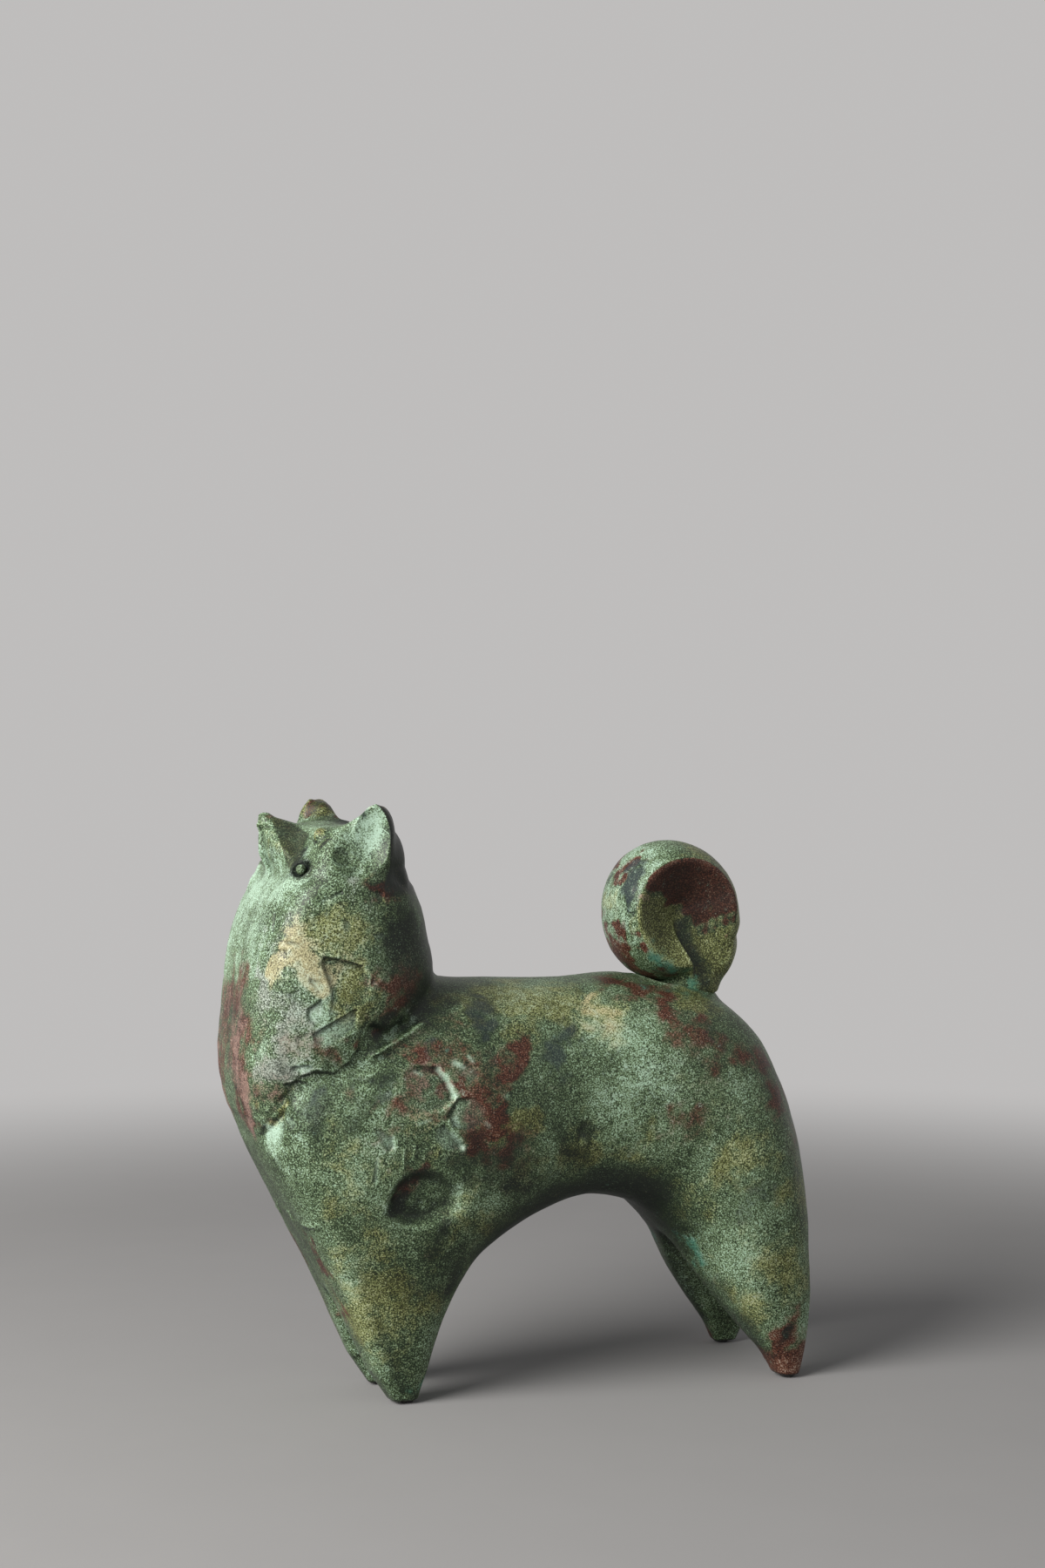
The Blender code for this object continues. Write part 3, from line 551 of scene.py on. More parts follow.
def scatterChips(points, normals):
    lift = np.zeros(len(points))
    pale = np.zeros(len(points))
    dice = np.random.RandomState(chips["seed"])
    low, high = chips["heights"]
    ruff = (points[:, 2] > low) & (points[:, 2] < high) & (points[:, 0] < chips["before"])
    choices = np.nonzero(ruff & (np.abs(normals[:, 1]) > 0.5))[0]
    drawn = np.array([np.mean(plate["corners"], axis=0) for plate in ruffPlates])
    for _ in range(chips["count"]):
        x, y, z = points[choices[dice.randint(len(choices))]]
        turns = np.sort(dice.uniform(0, 2 * math.pi, 5))
        size = dice.uniform(*chips["size"])
        corners = [(x + size * math.cos(turn) * dice.uniform(0.7, 1.2), z + size * math.sin(turn))
                   for turn in turns]
        depth = dice.uniform(*chips["depth"])
        paleness = dice.uniform(0, 0.8)
        fade = (dice.uniform(-1, 1), dice.uniform(-1, -0.1))
        crowded = np.min(np.hypot(drawn[:, 0] - x, drawn[:, 1] - z)) < chips["clear"]
        if y < 0 and (z < chips["drawnBelow"] or crowded):
            continue
        cutPlate(lift, pale, points, points[:, 1] * y > 0, flake(depth, fade, paleness, *corners))
    return lift, pale * chips["pale"]


# Head, worked on the left and mirrored.

muzzle = {  # jaw drawn forward; the flat side of the muzzle is dark, its outline as seen from the left front
    "forward": 2.5, "forwardOver": (173, 185), "noseBack": 1.9, "noseOver": (183, 196),
    "before": (80, 89), "width": (17, 5), "seenAlong": (0.244, 0.9695, -0.025), "seenAt": -12,
    "flatEdge": (-0.2, 0.7), "flatWithin": -27, "flatBefore": -72,
    "corners": [(-92.5, 197.2), (-85.4, 194.8), (-78.9, 190.9), (-80.7, 186.5), (-81.3, 183.0),
                (-83.9, 180.8), (-86.6, 179.1), (-92.2, 194.4)],
}
scoop = {"at": (-68.6, -46.6, 190.2), "radii": (14.0, 15.6, 18.0), "above": 177}  # pressed into each ear
farEar = {  # its outline on the picture: rows, front edge, back edge, in pixels
    "rows": (905, 916, 925, 935, 940, 943, 946), "front": (359, 356, 349, 344, 342, 340, 330),
    "back": (367, 373, 379.5, 385.5, 390, 402, 450), "frontFrom": 24, "backFrom": 8,
    "above": 188, "behind": -76,
}
face = {  # soft cheek between muzzle, ear and ruff, outlined in picture pixels; then the pit for the bead
    "corners": [(352, 962), (366, 950), (396, 947), (408, 958), (411, 988), (400, 1006), (365, 1016),
                (338, 1018), (318, 1012), (316, 1003), (330, 998), (341, 990), (349, 978)],
    "edge": (-1.5, 3.5), "from": 10, "above": 160, "facing": -0.35, "rounds": 260,
    "pitSeen": (343, 995.5), "pitWithin": 3, "pitLeftOf": -8, "pitRadius": 3.5, "pitOut": 1.2, "beadIn": 0.7,
    "trail": (2.6, -0.6, -0.9), "trailRadius": 2.5,  # a second ball runs the pit out backward
}
headSoft = {  # rounds of smoothing and where: beside the muzzle, then lightly over the upper head
    "valley": (60, {"x": [(-86, -83), (-75, -77)], "off": [(27, 24), (7, 12)], "z": [(180, 182)]}),
    "headEdges": (2, {"x": [(-52, -56)], "z": [(180, 186)]}),
}


def trimFarEar(points):
    spot, depth = pictureSpot(points)
    front, back = (np.interp(spot[:, 1], farEar["rows"], farEar[edge]) for edge in ("front", "back"))
    pastBack = np.clip(spot[:, 0] - back, 0, None) * (points[:, 1] > farEar["backFrom"])
    pastFront = np.clip(spot[:, 0] - front, None, 0) * (points[:, 1] > farEar["frontFrom"])
    onEar = (points[:, 2] > farEar["above"]) & (points[:, 0] > farEar["behind"])
    points[:, 0] -= (pastBack + pastFront) * depth / viewpoint["sidewaysPixels"] * onEar  # pixels back to mm
    return points


def shapeHead(points, normals, side):
    mirrored = points * (1, -side, 1)
    near = mirrored[:, 1] < 0.001
    x, y, z = mirrored.T
    gap = np.linalg.norm((mirrored - scoop["at"]) / scoop["radii"], axis=1)
    pressed = near & (gap < 1) & (z > scoop["above"])
    mirrored[pressed] = scoop["at"] + (mirrored[pressed] - scoop["at"]) / gap[pressed, None]
    shift = muzzle["forward"] * ramp(z, *muzzle["forwardOver"])
    shift -= muzzle["noseBack"] * ramp(z, *muzzle["noseOver"])
    onMuzzle = ramp(-x, *muzzle["before"]) * ramp(np.abs(y), *muzzle["width"])
    mirrored[:, 0] -= np.where(near, shift * onMuzzle, 0)
    along = np.array(muzzle["seenAlong"])
    seen = mirrored - (mirrored[:, 1:2] - muzzle["seenAt"]) * along / along[1]
    facing = (normals * (1, -side, 1)) @ along < 0
    flat = ramp(outlineReach(seen[:, [0, 2]], muzzle["corners"]), *muzzle["flatEdge"])
    flat *= near & facing & (y > muzzle["flatWithin"]) & (x < muzzle["flatBefore"])
    return np.where(near[:, None], mirrored * (1, -side, 1), points), flat


def faceWeight(points, normals):
    weight = np.zeros(len(points))
    for side in (-1, 1):
        spot, _ = pictureSpot(points * (1, -side, 1))
        soft = ramp(outlineReach(spot, face["corners"]), *face["edge"])
        soft *= (side * points[:, 1] > face["from"]) & (points[:, 2] > face["above"])
        weight = np.maximum(weight, soft * (side * normals[:, 1] > face["facing"]))
    return weight


def findPit(points, normals):
    # the nearest point that the picture shows at the corner of the mouth
    spot, depth = pictureSpot(points)
    onRay = np.hypot(*(spot - face["pitSeen"]).T) < face["pitWithin"]
    onRay &= points[:, 1] < face["pitLeftOf"]
    first = np.argmin(depth[onRay])
    return points[onRay][first], normals[onRay][first]


def pressPit(points):
    for side in (-1, 1):
        for off, radius in (((0, 0, 0), face["pitRadius"]), (face["trail"], face["trailRadius"])):
            centre = (pitAt + off + pitOut * face["pitOut"]) * (1, -side, 1)
            away = points - centre
            gap = np.linalg.norm(away, axis=1)
            inside = gap < radius
            points[inside] = centre + away[inside] * (radius / np.maximum(gap[inside], 0.05))[:, None]
    return points


def softenHead(name, points):
    rounds, limits = headSoft[name]
    soften(skin, rounds, name, block(points, **limits))


points = trimFarEar(readPoints(skin))
flatCheek = np.zeros(len(points))
for side in (-1, 1):
    points, cut = shapeHead(points, readNormals(skin), side)
    flatCheek = np.maximum(flatCheek, cut)
writePoints(skin, points)
softenHead("valley", points)
soften(skin, face["rounds"], "face", faceWeight(readPoints(skin), readNormals(skin)))
points = readPoints(skin)
pitAt, pitOut = findPit(points, readNormals(skin))
print("mouth corner at", np.round(pitAt, 1), "facing", np.round(pitOut, 2))
points = pressPit(points)
writePoints(skin, points)
softenHead("headEdges", points)
print("head shaped")


def fullness(points, normals):
    # corrections of the outline, found by laying the picture over the render
    x, y, z = points.T
    gap = np.hypot(*(points[:, [0, 2]] - tailFillet["at"]).T) - tailFillet["radius"]
    lift = tailFillet["height"] * np.exp(-(np.clip(gap, 0, None) / tailFillet["reach"]) ** 2)
    lift *= ramp(drum["halfWidth"] - np.abs(y), 0, 3) * (z > 130)
    for axisSign, limit, heights, fuller in profiles:
        facing = ramp(axisSign * normals[:, 0], 0.25, 0.85) * (axisSign * x > limit)
        lift += facing * np.interp(z, heights, fuller)
    lift += ramp(normals[:, 2], 0.4, 0.9) * (z > 125) * np.interp(x, *backFullness)
    lift += ramp(normals[:, 0], 0.25, 0.8) * ((x < -30) & (z > 138)) * np.interp(z, *napeFullness)
    return lift


points, normals = readPoints(skin), readNormals(skin)
leftLift, leftPale = carveSide(points, normals, -1)
rightLift, rightPale = carveSide(points, normals, 1)
chipLift, chipPale = scatterChips(points, normals)
onLeft = points[:, 1] < 0
pale = np.maximum(np.where(onLeft, leftPale, rightPale), chipPale)
lift = np.where(onLeft, leftLift, rightLift) + chipLift + fullness(points, normals)
lift *= wellGuard(points, body["wellCarved"])
points += normals * lift[:, None]
writePoints(skin, clearDrum(points))
print("body carved")


# Patina and painted light: soft patches listed one by one, stored on the mesh and broken up by the material.

patches = {  # x, y, z, radius, strength on the left flank
    "rust": [(-101.4, -5, 135, 13, 0.9), (-102, -12, 121, 13, 1), (-101, -13.7, 107, 11, 1),
             (-99, -13.8, 98.6, 6, 1), (-50, -35, 116, 4, 1), (-44.5, -35.5, 116, 4, 1.1),
             (-39.5, -36, 114, 4.5, 1.1), (-17, -35, 115.5, 6, 1.2), (-15, -36, 111, 5.5, 1.1),
             (-35, -38, 107, 4, 1.1), (-30, -38, 106.5, 4.5, 1.1), (-26, -38, 104, 4.5, 1.1),
             (-20, -38, 99.5, 6, 1.3), (-26, -38, 91, 8, 1.15), (-48.6, -37, 107, 12, 0.5),
             (-50, -36, 118, 9, 0.62), (-34, -36, 119, 11, 0.68), (-24, -37, 110, 12, 0.76),
             (-29, -38, 98, 11, 0.7), (-55, -38, 99, 8, 0.7), (37.5, -17, 136.3, 7, 1),
             (43, -23.5, 132, 9, 1), (34, -13.4, 137.6, 6, 1), (47, -12, 137, 7, 0.9),
             (79.6, -30, 107, 8, 1), (83.8, -32, 98, 8, 0.9), (72.8, -30.5, 113.6, 6, 0.8),
             (47, -37, 95, 8, 0.75), (40, -36.6, 89, 6, 0.7), (-72, -36, 127, 5, 0.75),
             (-81, -34, 118, 6, 0.7), (-56, -33, 140, 9, 0.9), (-60, -35, 134, 5, 1),
             (-60.8, -35.4, 171.3, 4.2, 1.2), (-58, -30, 199, 3.4, 0.9), (-55.6, -30, 191, 4, 0.7),
             (85.5, -32, 6, 10, 1.4), (89, -33, 20, 7, 0.7), (-52, -35, 79, 5, 0.8), (-66, -5, 28, 6, 0.6),
             (-76, -13, 45, 5, 1), (-80, -12, 56, 4, 0.9), (-70, -16, 30, 5, 0.9), (52, -30, 122, 10, 0.75),
             (60, -33, 112, 9, 0.62), (95, -18, 100, 12, 0.8), (64, -26, 12, 6, 0.6),
             (-12, -36, 86, 7, 0.5), (30, -20, 133, 5, 0.7), (92, -26, 80, 9, 0.5), (-46, -37, 60, 6, 0.4),
             (-66, -37.5, 108, 5, 0.4), (-91.6, -2, 196, 2, 0.8), (-88.5, -7, 196.5, 2.4, 0.9)],
    "ochre": [(-18.6, -17.5, 136.5, 11, 0.9), (-6.4, -18.5, 135, 12, 1), (5, -21, 133, 11, 0.9),
              (19.4, -25.7, 128.6, 10, 1), (-30, -24, 131, 9, 0.6), (-13, -37.5, 92, 8, 0.9),
              (66, -38, 80, 13, 0.75), (-72.8, -36, 86, 10, 0.6), (-60, -22, 35, 18, 0.8),
              (-93, -27, 105, 4, 1.1), (-95.6, -24, 100, 4.5, 1.1), (31, -34, 80, 9, 0.7),
              (-12, -35, 80, 11, 0.6), (-72, -38, 141, 9, 1), (-78, -38, 162, 9, 0.8),
              (84, -34, 40, 14, 0.7), (59, -22, 133, 8, 0.9), (-66, -32, 54, 12, 0.6),
              (-79.4, -25, 191.8, 3.4, 0.8), (90, -33, 60, 12, 0.6), (-66, -36, 160, 8, 0.5),
              (-30, -30, 62, 12, 0.6), (46, -30, 62, 12, 0.6), (8, -30, 84, 12, 0.6),
              (70, -34, 28, 12, 0.6), (-9, -30, 122, 9, 0.6), (44, -36, 108, 7, 0.4),
              (-72, -32, 72, 9, 0.5), (-50, -38, 104, 9, 0.6), (-48, -34, 88, 8, 0.5),
              (-92, -1, 197, 3, 0.9), (-62, 31, 200, 5, 0.8), (-92.5, -9, 189, 5, 0.6)],
    # dark patina, and painted shade: many of these spots darken the belly and lower flank, the legs, the back
    # of the neck behind the mane, the pocket above the ruff's foot, under the ruff, the elbow and flank
    # dishes, under the eye, round the bead's pit and low on the feet
    "dark": [(-91.5, -12, 184, 6, 0.5), (-70, -31, 197, 2.4, 0.8), (-50.6, -31, 156, 11, 1),
             (-46, -27, 135, 11, 0.9), (-57, -33, 173, 6, 0.9), (-42, -22, 146, 14, 1),
             (-46, 0, 160, 24, 0.9), (-58, -33, 129, 5, 0.9), (-53.5, -33, 73.5, 7, 1.0),
             (-47, -33, 70.5, 7, 0.7), (-53, -26, 186, 10, 1), (-30, -20, 66, 10, 0.8),
             (-45, -24, 40, 8, 0.5), (-85, -22.4, 179.6, 4.4, 1.5), (-73.6, -29.6, 183.2, 4, 0.45),
             (-78.4, -27, 189.8, 2.8, 1.0), (64, -20, 8, 7, 0.7), (88, -33, 14, 4, 0.9),
             (-47, -20, 3, 6, 0.7), (12, -33, 91, 5, 0.6), (30, -26, 66, 8, 0.7), (0, -30, 84, 9, 0.85),
             (-14, -33, 78, 8, 0.85), (-22, -36, 84, 9, 0.6), (-14, -37, 100, 5, 0.5),
             (26, -33, 84, 8, 0.4), (-26, -38, 91, 8, 0.55), (-62, -35, 115, 6, 0.55),
             (-30, -37, 80, 9, 0.6), (-40, -34, 58, 9, 0.65), (-36, -30, 44, 9, 0.7),
             (-72, -37, 108, 7, 0.4), (-20, -36, 92, 6, 0.4), (-81.5, -33, 98, 8, 0.6),
             (-76, -36, 101, 7, 0.45)],
    # mint patina; the small spots along the ruff's raised foot, along the lit flake edges on the shoulder, on
    # the right side of the elbow dish and inside the near ear are painted highlights
    "mint": [(-95, -8, 176, 11, 1.1), (-90, -24, 176, 9, 1.1), (-98, -14, 158, 16, 0.7),
             (-96, 4, 168, 12, 0.8), (-66, -33, 191, 6.5, 1.4), (21, -29, 124, 10, 0.7),
             (37.7, -35.6, 104, 16, 0.55), (19, -34, 104, 11, 0.4), (56, -37, 88, 12, 0.3),
             (-6, -18, 136, 16, 0.4), (-84, -37, 161, 13, 0.45), (-85, -37, 142, 13, 0.5),
             (-84, -36, 125, 12, 0.5), (-74, -32, 184, 9, 0.3), (-41, -37, 113.4, 1.8, 1.2),
             (-39, -37.4, 110.4, 1.8, 1.2), (-37.4, -37.6, 107, 1.8, 1.2), (-39.4, -37, 92, 3.4, 1),
             (-61, -37, 92, 4, 0.5), (-80, -37, 133, 7, 0.6), (-93, -25, 93, 6, 1), (70, -36, 42, 9, 0.2),
             (58, -22, 44, 9, 0.4), (-72, -24, 50, 8, 0.4), (64, -34, 104, 9, 0.4),
             (-70, -36, 181, 9, 0.55), (-93, -24, 84, 5, 0.6), (-86, -12, 192, 4, 0.6),
             (-61, -33, 120.4, 3, 1), (-55, -31.6, 123.2, 3, 1), (-48, -30.2, 126.8, 3, 0.9),
             (-66, 28, 196, 4, 1.1), (-64, -37, 72, 8, 0.35), (-37.5, -37, 69, 5, 0.9),
             (-80, -36, 178, 7, 0.4), (-60, -36, 104, 5, 0.5), (-33, -37.5, 115.5, 3, 0.8)],
    "teal": [(46, -15, 139, 7, 0.7), (60, -15, 138, 6, 0.7), (74, -8, 140, 8, 0.4), (57, -19, 45, 8, 0.6),
             (-46, -18, 8, 5, 0.5), (-38, -35, 117, 4, 0.6)],
    "blush": [(-88, -36, 151, 7, 1.5), (-87, -36, 144, 4, 0.8), (-88, -35, 158, 7, 0.8),
              (18, -25, 129, 7, 0.95), (-62.6, -34, 199, 3.2, 0.9), (-91.5, -2, 196, 2, 0.5)],
    "smoke": [(-23.5, -27, 130, 7, 1), (1.3, -31.4, 119.5, 8, 0.9), (16.6, -32.5, 114.6, 6, 0.7),
              (-60, -34, 110, 8, 0.5), (-85, -34, 106, 6, 0.5), (-67, -31, 196, 2.6, 0.9),
              (72, -37, 66, 9, 0.5), (62, -30, 120, 7, 0.5), (97, -10, 112, 10, 0.6),
              (-52, -34, 124, 6, 0.5), (30, -36, 96, 7, 0.4)],
    "chalk": [(-92, -33, 128, 10, 0.8), (-94, -29, 140, 10, 0.75), (-93, -32, 116, 9, 0.85),
              (-86, -36, 126, 6, 0.6), (-94.5, -26, 156, 6, 0.9), (-97, -24, 146, 5, 0.8),
              (-70, -36, 173, 7, 0.5)],
    # pink patina; the last spot, on the drum's rim, is a painted highlight
    "pink": [(-48, -37, 106, 8, 0.75), (-90, -34, 124, 8, 0.45), (-92, -30, 112, 6, 0.5),
             (-99.6, -17, 104, 8, 1), (-98.4, -12, 97, 6, 0.9), (-101.5, -12, 118, 10, 0.8),
             (-101, -8, 131, 9, 0.7), (41, -16.4, 163, 2.6, 0.8)],
}
weather = {  # how the patches sway, and how far those of the hidden flank drift, in mm
    "waves": ((22, 2.6), (13, 2.0), (8, 1.5), (5, 1.1), (3, 0.7)), "swaySeed": 23,
    "drift": 5, "driftShare": (1, 0.4, 1), "driftSeed": 5, "fallOff": 0.9,
    "foldRounds": 14, "hollowAt": 0.22, "wornAt": 0.3,
}
# stored layers: dark also carries painted shade, and mint and pale also carry painted highlights
finishGroups = {
    "patinaAndHighlightA": ("mint", "ochre", "rust"), "patinaAndShadeB": ("dark", "teal", "blush"),
    "patinaC": ("smoke", "hollow", "wear"), "patinaAndHighlightD": ("chalk", "pale", "pink"),
}
headMarks = {  # place and reach of the painted spots; the rim of the near ear is in picture pixels
    "eye": ((-80.4, -26.4, 192.8), 2.7), "pitOff": (0.6, 0, -0.3), "pitReach": 4.2,
    "paintedEarLight": ((-65.6, -33, 191), 5.5), "farTop": (194, 198), "farFrom": 20,
    "rimRows": (922, 928, 935, 949, 972, 995, 1014), "rim": (431, 437, 442, 446, 448, 447, 441),
    "earFrom": 16, "earHeights": (166, 176),
}


def wander(points):
    # sways the patches so that none comes out round
    dice = np.random.RandomState(weather["swaySeed"])
    swayed = points.copy()
    for wave, reach in weather["waves"]:
        for axis in range(3):
            way = dice.normal(size=3)
            along = points @ (way / np.linalg.norm(way))
            swayed[:, axis] += reach * np.sin(along * 2 * math.pi / wave + dice.uniform(0, 6))
    return swayed


def layPatches(points):
    dice = np.random.RandomState(weather["driftSeed"])
    points = wander(points)
    laid = {}
    for finish, blots in patches.items():
        amount = np.zeros(len(points))
        for x, y, z, radius, strength in blots:
            drift = dice.uniform(-weather["drift"], weather["drift"], 3) * weather["driftShare"]
            for centre in ((x, y, z), drift + (x, -y, z)):
                gap = ((points - centre) ** 2).sum(1)
                amount = np.maximum(amount, strength * np.exp(-weather["fallOff"] * gap / radius ** 2))
        laid[finish] = amount
    return laid


def deepen(laid, finish, *amounts):
    for amount in amounts:
        laid[finish] = np.maximum(laid[finish], amount)


def foldDepth(piece):
    # how far each point lies under its surroundings: positive in folds, negative on edges
    points, normals = readPoints(piece), readNormals(piece)
    ends = np.empty(len(piece.data.edges) * 2, int)
    piece.data.edges.foreach_get("vertices", ends)
    one, two = ends.reshape(-1, 2).T
    count = np.bincount(ends, minlength=len(points))[:, None]
    even = points.copy()
    for _ in range(weather["foldRounds"]):
        total = np.zeros_like(even)
        for axis in range(3):
            total[:, axis] += np.bincount(one, even[two, axis], len(points))
            total[:, axis] += np.bincount(two, even[one, axis], len(points))
        even = 0.5 * even + 0.5 * total / count
    return ((even - points) * normals).sum(1)


def storeFinish(piece, laid, pale, unworn=0):
    fold = foldDepth(piece)
    # little mint where the rust shows
    bare = 1 - 0.75 * np.clip(np.maximum(laid["rust"], laid["smoke"]), 0, 1)
    hollow = np.clip(fold / weather["hollowAt"], 0, 1)
    wear = np.clip(-fold / weather["wornAt"], 0, 1) * (1 - unworn)
    laid = dict(laid, mint=laid["mint"] * bare, hollow=hollow, wear=wear, pale=pale)
    for name, finishes in finishGroups.items():
        layer = piece.data.attributes.new(name, "FLOAT_COLOR", "POINT")
        rgba = np.ones((len(fold), 4))
        for column, finish in enumerate(finishes):
            rgba[:, column] = laid[finish]
        layer.data.foreach_set("color", rgba.ravel())


def earBackShadeWeight(points):
    # behind the rim the back of the ear gets painted shade, with brown rust
    weight = np.zeros(len(points))
    for side in (-1, 1):
        spot, _ = pictureSpot(points * (1, -side, 1))
        behind = ramp(spot[:, 0] - np.interp(spot[:, 1], headMarks["rimRows"], headMarks["rim"]), -0.5, 2.0)
        weight = np.maximum(weight, behind * (side * points[:, 1] > headMarks["earFrom"]))
    return weight * ramp(points[:, 2], *headMarks["earHeights"])


points, normals = readPoints(skin), readNormals(skin)
leftward = np.stack([points[:, 0], -np.abs(points[:, 1]), points[:, 2]], 1)  # both flanks on the left
eye = ball(leftward, *headMarks["eye"])
# painted shade in the pit round the bead
pitShade = ball(leftward, pitAt + headMarks["pitOff"], headMarks["pitReach"], 4)
# painted shade on the back of the near ear, with brown rust
earBackShadeAndRust = earBackShadeWeight(points)
farTop = ramp(points[:, 2], *headMarks["farTop"]) * (points[:, 1] > headMarks["farFrom"])
# painted shade on the surfaces that face down
under = ramp(-normals[:, 2], 0.15, 0.85)
# painted light inside the near ear's leaf; nothing pale behind its rim
pale = np.maximum(pale, 0.85 * ball(points, *headMarks["paintedEarLight"])) * (1 - earBackShadeAndRust)
laid = layPatches(points)
laid["mint"] *= 1 - 0.8 * farTop
for finish in ("mint", "chalk"):
    laid[finish] *= (1 - flatCheek) * (1 - 0.9 * eye) * (1 - pitShade) * (1 - earBackShadeAndRust)
laid["ochre"] *= 1 - 0.5 * flatCheek
deepen(laid, "ochre", 0.42 * flatCheek, 0.75 * farTop, 1.2 * eye)
deepen(laid, "rust", 0.5 * eye, 0.38 * earBackShadeAndRust)
# painted shade under the body; the flat side of the muzzle gets dark patina
deepen(laid, "dark", 0.85 * under, 0.5 * flatCheek)
laid["dark"] *= 1 - eye
# painted shade in the pit round the bead and on the back of the near ear
deepen(laid, "dark", 1.1 * pitShade, 1.1 * earBackShadeAndRust)
storeFinish(skin, laid, pale, eye)


def partSkin(name, keepLeft):
    pickOnly(skin)
    bpy.ops.object.duplicate()
    piece = lastAdded()
    piece.name = name
    piece.data.name = name
    editAll(piece)
    cutAt = -body["partingGap"] if keepLeft else body["partingGap"]
    bpy.ops.mesh.bisect(plane_co=(0, cutAt, 0), plane_no=(0, 1, 0), use_fill=True,
                        clear_outer=keepLeft, clear_inner=not keepLeft)
    backToObject()
    bpy.ops.object.shade_smooth_by_angle(angle=math.radians(body["smoothAngle"]))
    return piece


leftSkin = partSkin("leftBody", True)
rightSkin = partSkin("rightBody", False)
bpy.data.objects.remove(skin)
print("body parted:", len(leftSkin.data.polygons), "and", len(rightSkin.data.polygons), "faces")


# Beads at the mouth corners.

bead = {"at": pitAt - pitOut * face["beadIn"], "radius": 1.7, "cuts": 4, "dark": 0.4, "mint": 0.1}


def addBead(name, side):
    piece = addBall(name, bead["at"] * (1, -side, 1), (bead["radius"],) * 3, bead["cuts"])
    bpy.ops.object.shade_smooth()
    laid = layPatches(readPoints(piece))
    for finish in ("dark", "mint"):
        laid[finish] *= bead[finish]
    storeFinish(piece, laid, np.zeros(len(piece.data.vertices)))
    return piece


joinInto(leftSkin, addBead("leftBead", -1))
joinInto(rightSkin, addBead("rightBead", 1))


# Tail: a strap curled into a drum, with a comma shaped step in the hollow of each face.

tail = {
    "voxel": 0.0006, "firstRounds": 12, "rootRounds": 40, "runOutRounds": 10,
    "dimpleSize": 0.006, "dimpleHeight": 0.00025,
    "rootBoss": ((70.4, 0, 149.5), (10.8, 13.5, 15.0)), "rootBlock": {"x": [(50, 58)], "z": [(154, 145)]},
    "rootHeights": (120, 134.7, 138.5, 142, 145.5, 149, 153.4),
    "rootEdge": (68, 71.2, 74.0, 76.1, 77.4, 79.4, 81.6),
    "rimFrom": (17, 21.5), "hollowFloor": 6.5, "hollowRise": 4.2, "hollowRadius": 19,
    "comma": [(-1.0, 1.0), (-2.6, -4.6), (-1.8, -9), (0.2, -13.4), (3.4, -21), (4.5, -26)],
    "paintedHollow": (20, 18.5), "paintedHalfWidth": 17.2,
}
tailSpots = [  # finish, radius, strength, places on the rim
    ("rust", 3.8, 1.7, [(41, -11.6, 181.6), (43, -13.4, 182.7), (38.6, -6.9, 179.5), (36.7, -0.9, 177.3),
     (32.1, -4.8, 157.2), (33.4, -5.3, 153.1), (33.6, -16, 152.5), (36.6, -2.8, 147.4), (37.6, -15, 147.1),
     (41, 2, 143), (36.5, 6, 147.5)]),
    ("smoke", 4.2, 1.6, [(37.6, -14.5, 178.4), (35.1, -13.4, 175), (36.6, -16, 172.6), (40, -16, 177),
     (34.4, -12, 171), (41.6, -16, 180), (35, -16, 168)]),
    ("ochre", 4.5, 0.9, [(34.6, -16, 157.5), (48.9, -15, 185.6), (31.8, 1, 166)]),
    # pink here is a painted highlight on the drum's rim
    ("pink", 2.4, 1.2, [(34.6, -16.4, 165), (34.6, -16.4, 168)]),
]


def tailPlaces(points):
    # distance from the middle of the drum, side of the comma, angle: 0 straight down, growing to the right
    flat = points[:, [0, 2]] - drum["centre"]
    gap, turn, _ = lineReach(flat, tail["comma"])
    turned = np.degrees(np.arctan2(flat[:, 1], flat[:, 0])) + 90
    turned = np.where(turned > 180, turned - 360, turned)
    return np.hypot(flat[:, 0], flat[:, 1]), gap * turn, turned


def between(values, low, high):
    return (values > low) & (values < high)


def rollDrum(points, root):
    # the drum is moved and pushed out, and the root gets its outer edge
    points[:, 0] -= drum["forward"] * (1 - root)
    away = points[:, [0, 2]] - drum["centre"]
    gap = np.hypot(away[:, 0], away[:, 1])
    points[:, [0, 2]] += away * ((1 - root) * ramp(gap, *tail["rimFrom"]) * drumPush(away) / gap)[:, None]
    edge = np.interp(points[:, 2], tail["rootHeights"], tail["rootEdge"])
    low = points[:, 2] < tail["rootHeights"][-1]
    points[:, 0] = np.where(low, np.minimum(points[:, 0], edge), points[:, 0])
    return points


def stepDepth(points):
    # right of the comma the hollow runs out into the side of the root
    radius, signed, turned = tailPlaces(points)
    floorAt = tail["hollowFloor"] + tail["hollowRise"] * np.clip(radius / tail["hollowRadius"], 0, 1.5)
    opening = ramp(signed, -0.4, 0.9) * (1 - ramp(turned, 38, 100)) * (turned > -40) * ramp(radius, 1, 5)
    return np.clip(np.abs(points[:, 1]) - floorAt, 0, None) * opening


